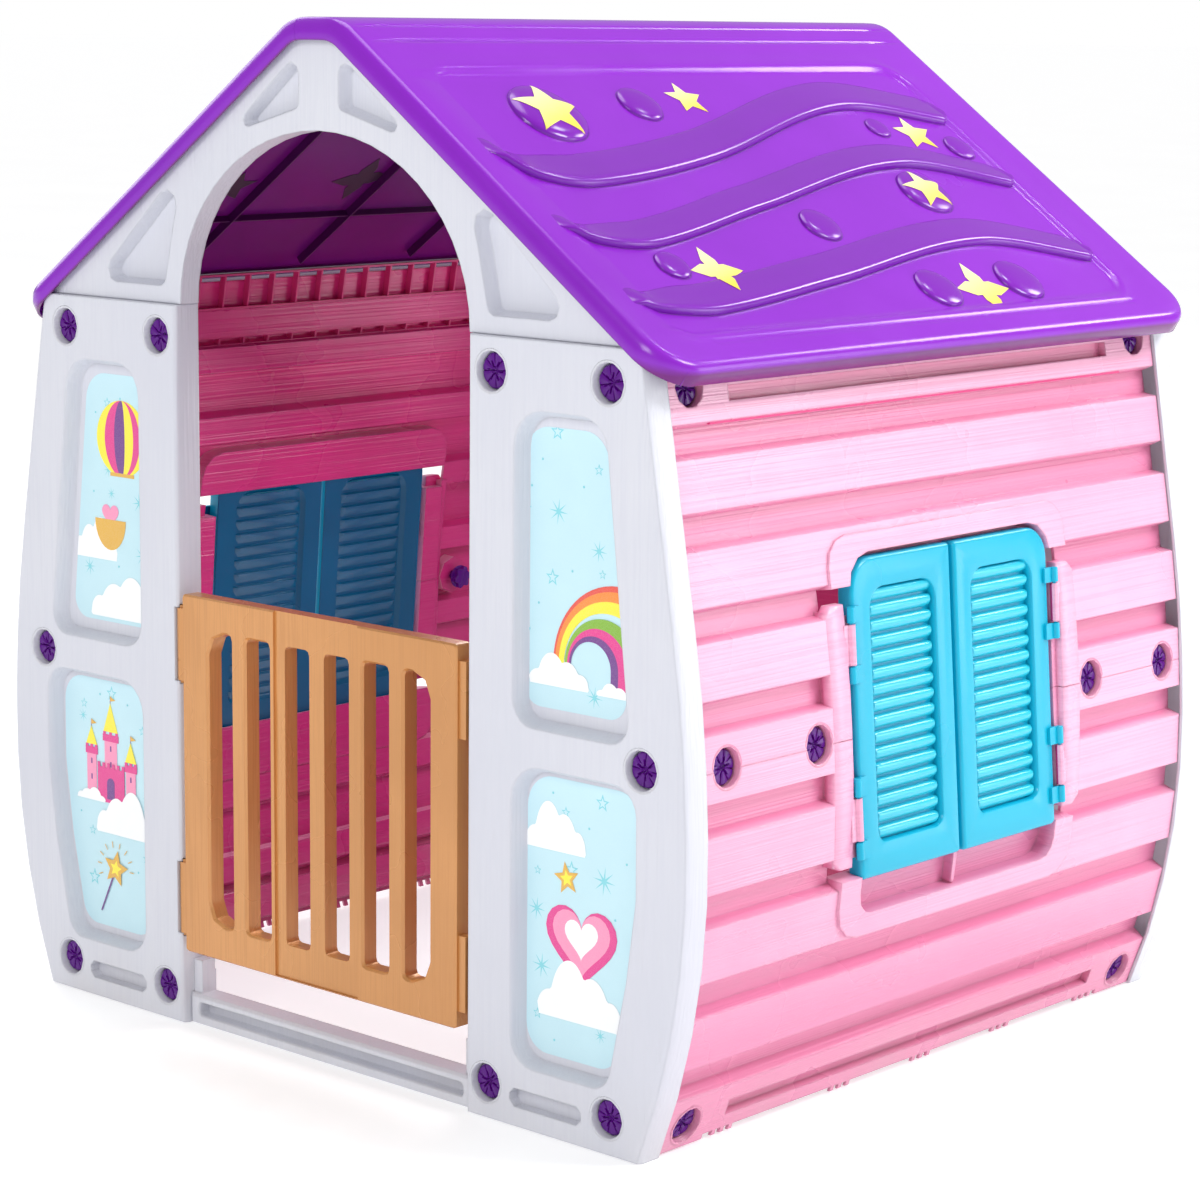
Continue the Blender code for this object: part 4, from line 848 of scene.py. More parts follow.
def build_star_stickers(name, side, under=False):
    shape = bmesh.new()
    ink = shape.verts.layers.float_color.new("ink")
    pale, deep = Vector((0.96, 0.93, 0.42)), Vector((0.90, 0.66, 0.03))
    shells = 16
    lift = 0.0004
    stars = LEFT_SHADES if under and side == LEFT else STARS
    for y0, along0, points, outer, turn in stars:
        outline = star(y0, along0, points, outer, turn, 0.47 if points == 5 else 0.36)
        centre = Vector((y0, along0))
        depth = UNDER_FIELD if under else roof_surface(y0, along0) - lift
        hub = shape.verts.new(roof_point(side, side * y0, along0, depth))
        hub[ink] = (*pale.lerp(deep, 0.35), 1.0)
        before = None
        for step in range(1, shells + 1):
            ring = []
            for corner in outline:
                spot = centre.lerp(corner, step / shells)
                depth = UNDER_FIELD if under else roof_surface(spot.x, spot.y) - lift
                vertex = shape.verts.new(roof_point(side, side * spot.x, spot.y, depth))
                tone = 0.5 + (spot.y - along0) / (1.3 * outer) + 0.25 * (spot.x - y0) / outer
                vertex[ink] = (*pale.lerp(deep, min(max(tone, 0.0), 1.0)), 1.0)
                ring.append(vertex)
            count = len(ring)
            for index in range(count):
                after = (index + 1) % count
                if before is None:
                    shape.faces.new((hub, ring[index], ring[after]))
                else:
                    shape.faces.new((before[index], before[after], ring[after], ring[index]))
            before = ring
    item = piece(name, shape, SHADE if under else VINYL)
    for polygon in item.data.polygons:
        if (polygon.normal.z < 0) != under:
            polygon.flip()
    thicken(item, 0.00015, 1.0)


# ---------------------------------------------------------------- shutters

WINDOW_TILT = math.radians(4.59)
WINDOW_SPOT = (0.4905, 0.403)
HINGE_Y = 0.1765
HINGE_OUT = 0.0032
SLATS = 16
SLAT_FLOOR = -0.0112
# places along a slat, and the share of its full height there
SLAT_STATIONS = (
    (0.0318, 0.0),
    (0.0330, 0.55),
    (0.0360, 0.92),
    (0.0420, 1.0),
    (0.1290, 1.0),
    (0.1350, 0.92),
    (0.1380, 0.55),
    (0.1392, 0.0),
)
SHUTTER_KNUCKLES = ((0.100, 0.116), (0.039, 0.056), (-0.075, -0.056), (-0.139, -0.121))


def window_point(side, y, height, out):
    """A point of the tilted window plane: along the wall, up it, and out of it."""
    x = out * math.cos(WINDOW_TILT) - height * math.sin(WINDOW_TILT)
    z = out * math.sin(WINDOW_TILT) + height * math.cos(WINDOW_TILT)
    return Vector((side * (WINDOW_SPOT[0] + x), y, WINDOW_SPOT[1] + z))


def shutter_frame(place, outline, opening):
    """The leaf's frame, rounded at its edges, with a sunk backing behind the slats."""
    layers = [
        (inset(opening, 0.0025), -0.0125),
        (opening, -0.0150),
        (inset(opening, -0.002), -0.0175),
        (inset(outline, 0.001), -0.0175),
        (outline, -0.0165),
        (outline, -0.0040),
        (inset(outline, 0.0008), -0.0022),
        (inset(outline, 0.0022), -0.0007),
        (inset(outline, 0.0042), 0.0),
        (inset(opening, -0.0022), 0.0),
        (inset(opening, -0.0008), -0.0005),
        (opening, -0.0020),
        (inset(opening, 0.0010), -0.0100),
    ]
    shape = bmesh.new()
    loft(shape, [[place(p.x, p.y, out) for p in ring] for ring, out in layers])
    return shape


def shutter_slats(place, low, high):
    """Rounded slats that lean out at their upper edges, and their low ridges on the back."""
    pitch = (high - low) / SLATS
    section = []
    for step in range(11):
        angle = math.pi * step / 10
        along = 0.5 - 0.42 * math.cos(angle) + 0.12 * math.sin(angle)
        section.append((along, 0.0090 * math.sin(angle) ** 0.8))
    shape = bmesh.new()
    for number in range(SLATS):
        foot = low + number * pitch
        rings = []
        for y, share in SLAT_STATIONS:
            ring = []
            for along, rise in section:
                height = foot + (0.5 + (along - 0.5) * (0.75 + 0.25 * share)) * pitch
                height = min(max(height, low + 0.0015), high - 0.0015)
                ring.append(place(y, height, SLAT_FLOOR + rise * share - 0.00002 * along))
            rings.append(ring)
        loft(shape, rings)
        rings = []
        for y, share in ((0.0345, 0.0), (0.040, 1.0), (0.131, 1.0), (0.1365, 0.0)):
            ring = []
            for along, rise in ((0.10, 0.0), (0.55, 0.0032), (0.85, 0.0046), (0.95, 0.0)):
                height = min(max(foot + along * pitch, low + 0.003), high - 0.003)
                ring.append(place(y, height, SLAT_FLOOR - 0.001 - rise * share - 0.00002 * along))
            rings.append(ring)
        loft(shape, rings)
    return shape


def shutter_hinges(place):
    """Knuckles with webs to the frame, and thinner pins between the knuckles of each pair."""
    shape = bmesh.new()
    for lower, upper in SHUTTER_KNUCKLES:
        barrel(shape, place, lower, upper)
        corners = ((0.160, lower), (HINGE_Y, lower), (HINGE_Y, upper), (0.160, upper))
        web = rounded([(y, height, 0.001) for y, height in corners], 2)
        loft(shape, [[place(p.x, p.y, out) for p in web] for out in (-0.0012, HINGE_OUT)])
    for lower, upper in ((1, 0), (3, 2)):
        pin_low, pin_high = SHUTTER_KNUCKLES[lower][1] - 0.004, SHUTTER_KNUCKLES[upper][0] + 0.004
        barrel(shape, place, pin_low, pin_high, 0.0021)
    return shape


def build_shutter(name, side, end):
    def place(y, height, out):
        return window_point(side, end * y, height, out)

    half = 0.162
    low, high = -half + 0.034, half - 0.032
    corners = ((0.003, -half, 0.004), (0.170, -half, 0.007), (0.170, half, 0.034), (0.003, half, 0.004))
    outline = rounded(corners, 7)
    corners = ((0.031, low, 0.013), (0.140, low, 0.013), (0.140, high, 0.022), (0.031, high, 0.022))
    opening = rounded(corners, 7)
    item = piece(f"{name}_leaf", shutter_frame(place, outline, opening), CYAN, body=name, sharp=34.0)
    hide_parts(name)
    item = piece(f"{name}_slats", shutter_slats(place, low, high), LIT_SLAT_CYAN, body=name, sharp=34.0)
    item = piece(f"{name}_hinges", shutter_hinges(place), CYAN, body=name, sharp=34.0)


def barrel(shape, place, low, high, radius=0.0045):
    """A round bar on the hinge's axis, with soft ends."""
    rings = []
    for height, share in ((low, 0.82), (low + 0.0006, 1.0), (high - 0.0006, 1.0), (high, 0.82)):
        circle = disc(HINGE_Y, HINGE_OUT, radius * share, 20)
        rings.append([place(p.x, height, p.y) for p in circle])
    loft(shape, rings)


# ---------------------------------------------------------------- bolts

HEAD_TOP, HEAD_LOW, NUT_LOW = 0.0180, 0.0130, -0.0165
HEAD_RADII_MM = (0.4, 2, 3.4, 4.6, 5.8, 7, 8.2, 9.4, 10.6, 12, 13.5, 15, 16, 17, 17.7)
# radius, height and lobes of the head's rim, the shank and the nut
BOLT_PROFILE = (
    (0.0180, HEAD_LOW + 0.0020, 0.0),
    (0.0180, HEAD_LOW, 0.0),
    (0.0050, HEAD_LOW, 0.0),
    (0.0050, NUT_LOW + 0.0095, 0.0),
    (0.0140, NUT_LOW + 0.0095, 0.0),
    (0.0145, NUT_LOW + 0.0080, 0.0),
    (0.0128, NUT_LOW + 0.0070, 0.12),
    (0.0126, NUT_LOW + 0.0010, 0.14),
    (0.0112, NUT_LOW, 0.14),
)
SLEEVE_TOP = 0.0060
# radius and height of the mouth of a bore, from the middle of the bolt head's top
SLEEVE_PROFILE = (
    (0.0226, SLEEVE_TOP - 0.0010),
    (0.0224, SLEEVE_TOP + 0.00025),
    (0.0206, SLEEVE_TOP + 0.0003),
    (0.0200, SLEEVE_TOP - 0.0001),
    (0.0195, SLEEVE_TOP - 0.0010),
    (0.0191, -0.0048),
    (0.0206, -0.0048),
)


def round_ring(count, radius_at, height_at):
    """A ring about Z whose radius and height may follow the angle."""
    ring = []
    for number in range(count):
        angle = 2 * math.pi * number / count
        radius = radius_at(angle)
        ring.append(Vector((radius * math.cos(angle), radius * math.sin(angle), height_at(angle))))
    return ring


def head_height(radius, angle):
    """Height of the bolt's head: eight petals parted by grooves, round a sunk star."""
    petal = abs(math.cos(4 * angle))
    groove = smooth((0.22 - abs(math.sin(4 * angle + math.pi / 2))) / 0.22)
    star_reach = 0.0042 + 0.0062 * smooth((math.cos(6 * angle) - 0.35) / 0.65)
    height = HEAD_TOP - 0.0004 + 0.0007 * petal
    height -= 0.0014 * groove * smooth((radius - 0.006) / 0.004)
    height -= 0.0030 * smooth((star_reach - radius) / 0.0012)
    height -= 0.0016 * smooth((radius - 0.0158) / 0.0022)
    return height


def bolt_mesh():
    """Bolt along +Z with its origin at the middle: petals round a star socket, and a lobed nut."""
    sides = 96
    rings = []
    for radius in [mm / 1000 for mm in HEAD_RADII_MM]:
        rings.append(round_ring(sides, lambda angle: radius, lambda angle: head_height(radius, angle)))
    for radius, height, lobes in BOLT_PROFILE:
        rings.append(round_ring(sides, lambda a: radius * (1 + lobes * math.cos(6 * a)), lambda a: height))
    shape = bmesh.new()
    loft(shape, rings)
    return mesh_of("bolt", shape, VIOLET, 38.0)


def sleeve_mesh(name, material):
    """The round mouth of a bolt's bore."""
    sides = 64
    rings = [round_ring(sides, lambda a: radius, lambda a: height) for radius, height in SLEEVE_PROFILE]
    shape = bmesh.new()
    layers = loft(shape, rings, start=False, end=False)
    for k in range(sides):
        after = (k + 1) % sides
        shape.faces.new((layers[-1][k], layers[-1][after], layers[0][after], layers[0][k]))
    return mesh_of(name, shape, material, 50.0)


def bolt_frame(node, outward):
    """Middle of the CAD bolt's head top, and its axis."""
    # the head's flat top is the largest area that looks out of the house
    areas = {}
    for polygon in node.data.polygons:
        if polygon.normal.dot(outward) > 0.8:
            key = tuple(round(value, 2) for value in polygon.normal)
            total, weighted = areas.get(key, (0.0, Vector()))
            areas[key] = (total + polygon.area, weighted + polygon.normal * polygon.area)
    axis = max(areas.values(), key=lambda area: area[0])[1].normalized()
    points = np.array([v.co for v in node.data.vertices], float)
    reach = points @ np.array(axis)
    top = points[reach > reach.max() - 0.0003]
    return Vector((top.min(0) + top.max(0)) / 2), axis


def build_bolts():
    mesh = bolt_mesh()
    sleeves = {"white": sleeve_mesh("white_sleeve", WHITE), "pink": sleeve_mesh("pink_sleeve", PINK)}
    for number, (name, node) in enumerate(sorted(NODES.items())):
        if "_bolt_" not in name:
            continue
        low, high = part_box(name)
        centre = (low + high) / 2
        outward = Vector((centre.x, 0, 0)) if "_wall_" in name else Vector((0, centre.y, 0))
        top, axis = bolt_frame(node, outward.normalized())
        turn = axis.to_track_quat("Z", "Y").to_matrix().to_4x4()
        spin = Matrix.Rotation(math.radians(37 * number), 4, "Z")
        item = linked(f"{name}_part", mesh)
        # the head's top lies where the CAD bolt's does
        item.matrix_world = Matrix.Translation(top - axis * HEAD_TOP) @ turn @ spin
        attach(item, HOUSE)
        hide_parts(name)
        colour = "pink" if "_wall_" in name else "white"
        sleeve = linked(f"{name}_sleeve", sleeves[colour])
        sleeve.matrix_world = Matrix.Translation(top) @ turn
        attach(sleeve, HOUSE)


# ---------------------------------------------------------------- printed stickers

SKY, TEAL, SNOW = (0.55, 0.80, 0.88), (0.22, 0.66, 0.74), (0.96, 0.97, 0.98)
RED, ORANGE, YELLOW, GREEN = (0.80, 0.07, 0.04), (0.93, 0.26, 0.02), (0.98, 0.84, 0.03), (0.23, 0.47, 0.02)
MAGENTA, GRAPE, ROSE = (0.78, 0.03, 0.27), (0.16, 0.03, 0.25), (0.93, 0.30, 0.50)
GOLD_INK = (0.78, 0.44, 0.05)
POCKET_FLOOR = 0.018


def burst(x, z, outer, points=5, inner=0.42, turn=90.0):
    """A star's outline; inner is the share of its radius between the tips."""
    turns = [math.radians(turn) + math.pi * k / points for k in range(2 * points)]
    tips = oval(x, z, outer, outer, turns[::2])
    dents = oval(x, z, outer * inner, outer * inner, turns[1::2])
    return [spot for pair in zip(tips, dents) for spot in pair]


def straight(*spots):
    """An outline with straight sides between the given places."""
    return [Vector(spot) for spot in spots]


def block(x0, x1, z0, z1):
    return straight((x0, z0), (x1, z0), (x1, z1), (x0, z1))


def cloud(x0, x1, base, height):
    """A cloud with a flat foot and four puffs."""
    puffs = ((0.15, 0.16, 0.42), (0.38, 0.24, 1.0), (0.64, 0.22, 0.78), (0.86, 0.14, 0.45))
    outline = []
    for k in range(49):
        part = k / 48
        top = 0.12 * math.sqrt(max(1 - (2 * part - 1) ** 2, 0.0))
        for middle, reach, tall in puffs:
            away = (part - middle) / reach
            if abs(away) < 1:
                top = max(top, tall * math.sqrt(1 - away * away))
        outline.append(Vector((x0 + (x1 - x0) * part, base + height * top)))
    foot, margin = base - 0.06 * height, 0.02 * (x1 - x0)
    return [*outline, Vector((x1 - margin, foot)), Vector((x0 + margin, foot))]


def sky_marks(sparkles, stars, dots):
    """Small teal marks: (x, z, size) of sparkles and outlined stars, (x, z) of dots."""
    shapes = [(burst(x, z, outer, 8, 0.20, 84.0), TEAL) for x, z, outer in sparkles]
    for x, z, outer in stars:
        shapes += [(burst(x, z, outer), TEAL), (burst(x, z, outer * 0.62), SKY)]
    return shapes + [(disc(x, z, 0.0013, 10), TEAL) for x, z in dots]


def arch_band(left, outer, next_left, inner, foot, centre_z):
    """A rainbow band between two half circles that stand on straight legs."""
    outline = []
    for start, radius, turns in ((left, outer, range(31)), (next_left, inner, range(30, -1, -1))):
        arc = [math.pi - math.pi * k / 30 for k in turns]
        curve = oval(start + radius, centre_z, radius, radius, arc)
        outline += [Vector((curve[0].x, foot)), *curve, Vector((curve[-1].x, foot))]
    return outline


def rainbow_art():
    sparkles = [(0.322, 0.623, 0.013), (0.375, 0.590, 0.011), (0.371, 0.447, 0.011), (0.320, 0.470, 0.008)]
    stars = [(0.320, 0.700, 0.009), (0.315, 0.558, 0.009), (0.374, 0.668, 0.006)]
    stars += [(0.380, 0.568, 0.005), (0.279, 0.622, 0.008), (0.278, 0.480, 0.008)]
    dots = [(0.301, 0.672), (0.355, 0.650), (0.287, 0.645), (0.297, 0.531), (0.285, 0.504), (0.341, 0.567)]
    shapes = sky_marks(sparkles, stars, dots)
    # (left edge, radius) of each circle, from the outside in
    arcs = ((0.3170, 0.084), (0.3195, 0.078), (0.3240, 0.068), (0.3310, 0.056))
    inner_arcs = ((0.3320, 0.050), (0.3350, 0.040), (0.3375, 0.032), (0.3400, 0.026))
    for rims, inks in ((arcs, (RED, ORANGE, YELLOW)), (inner_arcs, (GREEN, MAGENTA, GRAPE))):
        for first, second, colour in zip(rims, rims[1:], inks):
            shapes.append((arch_band(*first, *second, 0.456, 0.475), colour))
    return shapes + [(cloud(0.285, 0.364, 0.453, 0.031), SNOW), (cloud(0.374, 0.420, 0.451, 0.013), SNOW)]


def heart(x, z, size):
    outline = []
    for k in range(36):
        t = 2 * math.pi * k / 36
        across = 16 * math.sin(t) ** 3
        up = 13 * math.cos(t) - 5 * math.cos(2 * t) - 2 * math.cos(3 * t) - math.cos(4 * t)
        outline.append(Vector((x + size * across / 16, z + size * up / 16)))
    return outline


def lit_star(x, z, outer, inner, dent):
    """A yellow star with a gold border; dent is the share of the radius between the tips."""
    return [(burst(x, z, outer, 5, dent, 100.0), GOLD_INK), (burst(x, z, inner, 5, dent, 100.0), YELLOW)]


def heart_art():
    sparkles = [(0.386, 0.268, 0.015), (0.297, 0.225, 0.012), (0.304, 0.168, 0.013), (0.383, 0.112, 0.008)]
    stars = [(0.383, 0.345, 0.009), (0.335, 0.328, 0.006), (0.343, 0.272, 0.009)]
    stars += [(0.299, 0.118, 0.006), (0.298, 0.264, 0.005)]
    dots = [(0.318, 0.345), (0.366, 0.317), (0.415, 0.290), (0.322, 0.095), (0.401, 0.232)]
    shapes = sky_marks(sparkles, stars, dots)
    shapes.append((cloud(0.282, 0.362, 0.290, 0.046), SNOW))
    for z, size, colour in ((0.200, 0.047, MAGENTA), (0.203, 0.038, ROSE), (0.206, 0.022, SNOW)):
        shapes.append((heart(0.357, z, size), colour))
    return [*shapes, *lit_star(0.337, 0.262, 0.017, 0.009, 0.45), (cloud(0.299, 0.412, 0.122, 0.058), SNOW)]


def balloon_art():
    sparkles = [(0.300, 0.566, 0.012), (0.296, 0.508, 0.012), (0.386, 0.487, 0.010)]
    sparkles += [(0.347, 0.572, 0.007), (0.352, 0.598, 0.008)]
    stars = [(0.352, 0.672, 0.006), (0.288, 0.655, 0.006)]
    dots = [(0.330, 0.678), (0.372, 0.660), (0.377, 0.572), (0.336, 0.492), (0.290, 0.612)]
    shapes = sky_marks(sparkles, stars, dots)
    shapes.append((cloud(0.338, 0.412, 0.500, 0.044), SNOW))
    x, z, radius = 0.328, 0.634, 0.042
    # upright stripes between shares of the radius
    seams = (-1.0, -0.72, -0.46, -0.12, 0.30, 0.68, 1.0)
    inks = (YELLOW, MAGENTA, YELLOW, GRAPE, MAGENTA, YELLOW)
    rise = [math.radians(-66 + 156 * k / 20) for k in range(21)]
    for low, high, colour in zip(seams, seams[1:], inks):
        edge = oval(x, z, low * radius, radius, rise)
        edge += oval(x, z, high * radius, radius, reversed(rise[:-1]))
        shapes.append((edge, colour))
    shapes.append((block(0.308, 0.348, 0.592, 0.596), GOLD_INK))
    shapes.append((heart(0.349, 0.549, 0.014), ROSE))
    bowl = oval(0.349, 0.543, 0.026, 0.034, [math.pi + math.pi * k / 16 for k in range(17)])
    return [*shapes, (bowl, GOLD_INK), (cloud(0.272, 0.384, 0.436, 0.046), SNOW)]


def tower(x, half, foot, top, spire):
    """A tower with a flag, a pointed roof, battlements and slits."""
    shapes = [
        (block(x - 0.0004, x + 0.0004, spire - 0.001, spire + 0.008), GRAPE),
        (straight((x, spire + 0.008), (x, spire + 0.002), (x - 0.009, spire + 0.004)), GOLD_INK),
        (straight((x - half * 0.95, top), (x + half * 0.95, top), (x, spire)), YELLOW),
        (block(x - half * 0.82, x + half * 0.82, foot, top - 0.004), ROSE),
        (block(x - half * 1.05, x + half * 1.05, top - 0.011, top - 0.003), MAGENTA),
    ]
    for middle in (x - half * 0.8, x, x + half * 0.8):
        shapes.append((block(middle - 0.0022, middle + 0.0022, top - 0.004, top), MAGENTA))
    for slit in (top - 0.016, top - 0.034, top - 0.052):
        if slit - 0.006 > foot:
            shapes.append((block(x - 0.0011, x + 0.0011, slit - 0.006, slit), GRAPE))
    return shapes


def wand(x, z):
    """A star on a stick, with short rays about it."""
    offsets = ((0.0025, -0.008), (0.0045, -0.007), (0.0265, -0.052), (0.0248, -0.053))
    stick = [Vector((x + across, z + up)) for across, up in offsets]
    shapes = [(stick, GRAPE), *lit_star(x, z, 0.021, 0.010, 0.48)]
    for k in range(9):
        angle = math.radians(-20 + 25 * k)
        ray = Vector((math.cos(angle), math.sin(angle)))
        near, far = Vector((x, z)) + ray * 0.024, Vector((x, z)) + ray * 0.031
        side = Vector((-ray.y, ray.x)) * 0.0005
        shapes.append(([near - side, far - side, far + side, near + side], GOLD_INK))
    return shapes


def castle_art():
    sparkles = [(0.292, 0.237, 0.010), (0.402, 0.316, 0.008), (0.288, 0.086, 0.010)]
    stars = [(0.352, 0.347, 0.009), (0.400, 0.330, 0.006), (0.300, 0.312, 0.006)]
    stars += [(0.388, 0.186, 0.006), (0.386, 0.132, 0.010), (0.296, 0.168, 0.006)]
    dots = [(0.372, 0.344), (0.408, 0.205), (0.310, 0.150), (0.325, 0.338)]
    shapes = sky_marks(sparkles, stars, dots)
    shapes += tower(0.3545, 0.0130, 0.262, 0.303, 0.336)
    shapes += tower(0.3875, 0.0100, 0.222, 0.285, 0.306)
    shapes += tower(0.3200, 0.0100, 0.222, 0.273, 0.296)
    shapes.append((block(0.331, 0.377, 0.222, 0.262), MAGENTA))
    for k in range(6):
        shapes.append((block(0.331 + 0.0083 * k, 0.3355 + 0.0083 * k, 0.262, 0.267), MAGENTA))
    arch = reversed(disc(0.3545, 0.244, 0.0065)[:15])
    door = [Vector((0.348, 0.226)), Vector((0.348, 0.244)), *arch, Vector((0.361, 0.226))]
    shapes.append((door, GRAPE))
    for spots in ((0.364, 0.413, 0.222, 0.014), (0.281, 0.380, 0.190, 0.050)):
        shapes.append((cloud(*spots), SNOW))
    return shapes + wand(0.348, 0.148)


def clipped(polygon, outline):
    """The part of a convex polygon inside a convex counter-clockwise outline."""
    for index, corner in enumerate(outline):
        edge = outline[(index + 1) % len(outline)] - corner
        kept = []
        for k, here in enumerate(polygon):
            before = polygon[k - 1]
            here_in = edge.x * (here.y - corner.y) - edge.y * (here.x - corner.x)
            before_in = edge.x * (before.y - corner.y) - edge.y * (before.x - corner.x)
            if (here_in >= 0) != (before_in >= 0):
                kept.append(before.lerp(here, before_in / (before_in - here_in)))
            if here_in >= 0:
                kept.append(here)
        polygon = kept
        if len(polygon) < 3:
            return []
    return polygon


# corners (x, z, radius) of the stickers
UPPER_STICKER = (
    (0.2765, 0.4285, 0.024),
    (0.4145, 0.4285, 0.022),
    (0.3845, 0.7040, 0.032),
    (0.2765, 0.7040, 0.034),
)
LOWER_STICKER = (
    (0.2840, 0.0790, 0.028),
    (0.4020, 0.0790, 0.026),
    (0.4230, 0.1800, 0.080),
    (0.4335, 0.2620, 0.080),
    (0.4330, 0.3610, 0.030),
    (0.2840, 0.3610, 0.034),
)


def build_sticker(name, side, corners, shapes):
    """One printed sticker on a pocket's floor. Each shape lies a hair above the last."""
    outline = rounded(corners, 8)
    shape = bmesh.new()
    ink = shape.verts.layers.float_color.new("ink")
    for level, (polygon, colour) in enumerate([(outline, SKY), *shapes]):
        y = POCKET_FLOOR - 0.0002 - 0.00002 * level - HALF_DEPTH
        for triangle in tessellate_polygon([[Vector((p.x, p.y, 0)) for p in polygon]]):
            flat = [polygon[k] for k in triangle]
            area = (flat[1] - flat[0]).cross(flat[2] - flat[0])
            if abs(area) < 1e-10:
                continue
            part = clipped(flat if area > 0 else flat[::-1], outline)
            if len(part) < 3:
                continue
            face = [shape.verts.new((side * p.x, y, p.y)) for p in part]
            for vertex in face:
                vertex[ink] = (*colour, 1.0)
            shape.faces.new(face if side > 0 else face[::-1])
    bmesh.ops.remove_doubles(shape, verts=shape.verts, dist=0.000004)
    mesh = bpy.data.meshes.new(name)
    shape.to_mesh(mesh)
    shape.free()
    mesh.materials.append(VINYL)
    item = linked(name, mesh)
    thicken(item, 0.00015, -1.0)
    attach(item, HOUSE)


# ---------------------------------------------------------------- ribs inside the walls


def half_width(z):
    """Distance from the middle of the house to the side wall's outline, above the foot."""
    rise = min(z, ARC_TOP) - CREST_Z
    return CREST_X - ARC_RADIUS + math.sqrt(ARC_RADIUS**2 - rise**2) - max(z - ARC_TOP, 0.0) * TOP_SLOPE


def wall_bar(shape, side, spots, outer, inner, dy, dz):
    """A square bar through spots (y, z) of the wall, between two distances inside its outline."""
    rings = []
    for y, z in spots:
        near, far = half_width(z) - outer, half_width(z) - inner
        section = ((near, -1), (near, 1), (far, 1), (far, -1))
        rings.append([Vector((side * x, y + dy * sign, z + dz * sign)) for x, sign in section])
    loft(shape, rings)


def build_wall_ribs(name, side):
    """Two rows of box ribs along the inner face of the wall, under the roof."""
    half, outer, inner = 0.0012, 0.0080, 0.0165
    shape = bmesh.new()
    for low, high in ((0.7565, 0.7955), (0.7128, 0.7232)):
        for number in range(19):
            y = -0.342 + 0.038 * number
            wall_bar(shape, side, ((y, low), (y, high)), outer, inner, half, 0.0)
        for z in (low, high):
            wall_bar(shape, side, ((-0.350, z), (0.350, z)), outer, inner + 0.001, 0.0, half)
    item = piece(name, shape, SHADED_INNER_PINK, sharp=30.0)


def build_window_strips(name, side):
    """Smooth upright strips at the planks' ends beside the window, parted at the wall's seam."""
    seam, radius, near, steps = 0.3885, 0.010, 0.1835, 14
    shape = bmesh.new()
    for low, high in ((0.258, seam - 0.0004), (seam + 0.0004, 0.522)):
        for end in (FRONT, REAR):
            rings = []
            for step in range(steps + 1):
                z = low + (high - low) * step / steps
                # the ends away from the seam are rounded off
                from_end = z - low if low < seam else high - z
                rounded_off = min(max(radius - from_end, 0.0), radius)
                far = 0.2150 - radius + math.sqrt(radius**2 - rounded_off**2)
                section = (
                    (near, 0.0150),
                    (near, 0.0052),
                    (near + 0.0016, 0.0037),
                    (far - 0.0016, 0.0037),
                    (far, 0.0052),
                    (far, 0.0150),
                )
                rings.append([Vector((side * (half_width(z) - sink), end * y, z)) for y, sink in section])
            loft(shape, rings)
    item = piece(name, shape, PINK, sharp=50.0)


# ---------------------------------------------------------------- stage

LIT_SPOT = Vector((0, 0, 0.5))
# place, size and power; the last stands inside the house
SOFTBOXES = (
    ((3.0, 1.4, 3.5), 1.3, 108.0),
    ((3.6, 2.7, 0.9), 1.6, 33.0),
    ((1.3, 3.2, 2.8), 1.0, 40.0),
    ((0.6, 1.7, 3.4), 0.22, 5.0),
    ((1.0, -4.0, 2.6), 1.5, 64.0),
    ((-3.6, 0.6, 2.4), 2.6, 50.0),
    ((0.0, 0.05, 0.60), 0.35, 2.5),
)


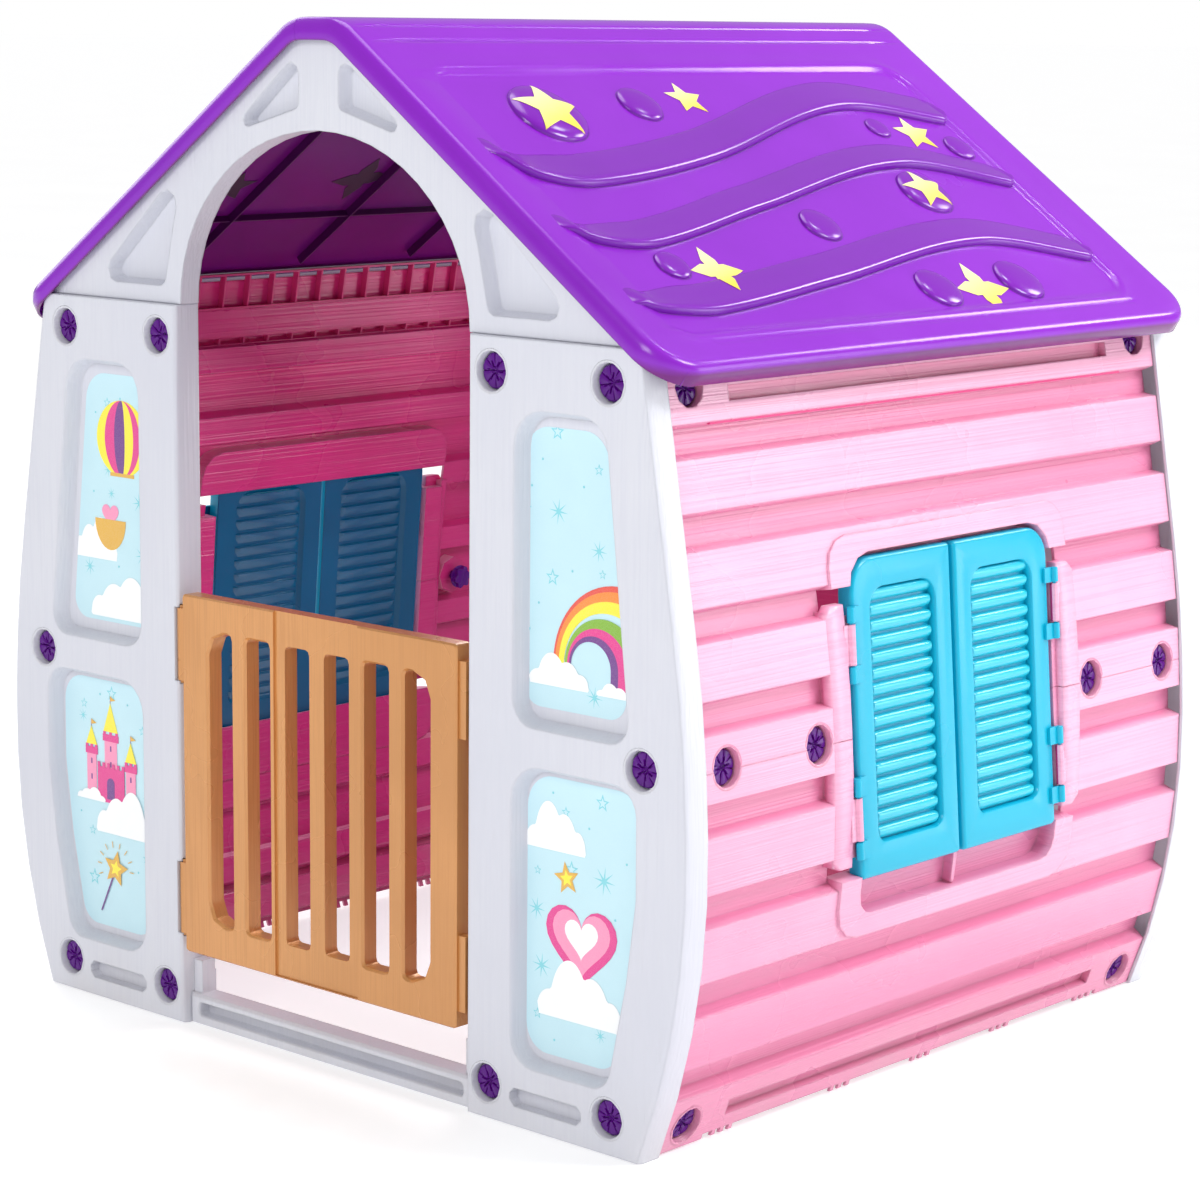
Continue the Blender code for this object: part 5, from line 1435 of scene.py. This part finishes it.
def build_background():
    """A pale floor, and a world that is white to the camera and softer on the house."""
    bpy.ops.mesh.primitive_plane_add(size=400.0, location=(0, 0, -0.0005))
    floor = bpy.context.object
    floor.name = "floor"
    floor.data.materials.append(floor_material())
    floor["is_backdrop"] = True
    world = bpy.context.scene.world or bpy.data.worlds.new("world")
    bpy.context.scene.world = world
    world.use_nodes = True
    nodes, links = world.node_tree.nodes, world.node_tree.links
    nodes["Background"].inputs["Color"].default_value = (1.0, 1.0, 1.0, 1.0)
    seen = nodes.new("ShaderNodeLightPath")
    level = nodes.new("ShaderNodeMapRange")
    level.inputs["To Min"].default_value = 0.42
    level.inputs["To Max"].default_value = 1.0
    links.new(seen.outputs["Is Camera Ray"], level.inputs["Value"])
    links.new(level.outputs["Result"], nodes["Background"].inputs["Strength"])


def build_lights():
    for number, (spot, size, power) in enumerate(SOFTBOXES):
        light = bpy.data.lights.new(f"softbox_{number}", "AREA")
        light.size = size
        light.energy = power
        lamp = linked(light.name, light)
        lamp.location = spot
        lamp.rotation_euler = (LIT_SPOT - Vector(spot)).to_track_quat("-Z", "Y").to_euler()
    overhead = bpy.data.lights.new("overhead", "SUN")
    overhead.energy = 1.3
    overhead.angle = math.radians(38)
    linked("overhead", overhead).rotation_euler = (math.radians(-12), math.radians(-16), 0)


def build_camera():
    camera = linked("camera", bpy.data.cameras.new("camera"))
    camera.data.sensor_width = 36.0
    camera.data.lens = LENS
    turn = Matrix((CAMERA_RIGHT, CAMERA_UP, CAMERA_BACK)).transposed().to_4x4()
    camera.matrix_world = Matrix.Translation(CAMERA_SPOT) @ turn
    bpy.context.scene.camera = camera
    bpy.context.scene.view_settings.view_transform = "Standard"


def main():
    dress_nodes()
    for side, side_name in SIDES:
        build_roof(f"roof_{side_name}", side)
        build_crease_shading(f"roof_{side_name}_crease_shadows", side)
        build_under_ribs(f"roof_{side_name}_ribs", side)
        build_star_stickers(f"roof_{side_name}_stars", side)
        build_star_stickers(f"roof_{side_name}_star_shades", side, under=True)
        build_wall_ribs(f"{side_name}_wall_ribs", side)
        build_window_strips(f"{side_name}_window_strips", side)
        for end, end_name in ENDS:
            build_shutter(f"{side_name}_shutter_{end_name}", side, end)
    build_bolts()
    build_sticker("upper_right_sticker", RIGHT, UPPER_STICKER, rainbow_art())
    build_sticker("lower_right_sticker", RIGHT, LOWER_STICKER, heart_art())
    build_sticker("upper_left_sticker", LEFT, UPPER_STICKER, balloon_art())
    build_sticker("lower_left_sticker", LEFT, LOWER_STICKER, castle_art())
    build_background()
    build_lights()
    build_camera()


main()
[[list(corner) for corner in box] for box in (CAD_BOX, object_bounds())]
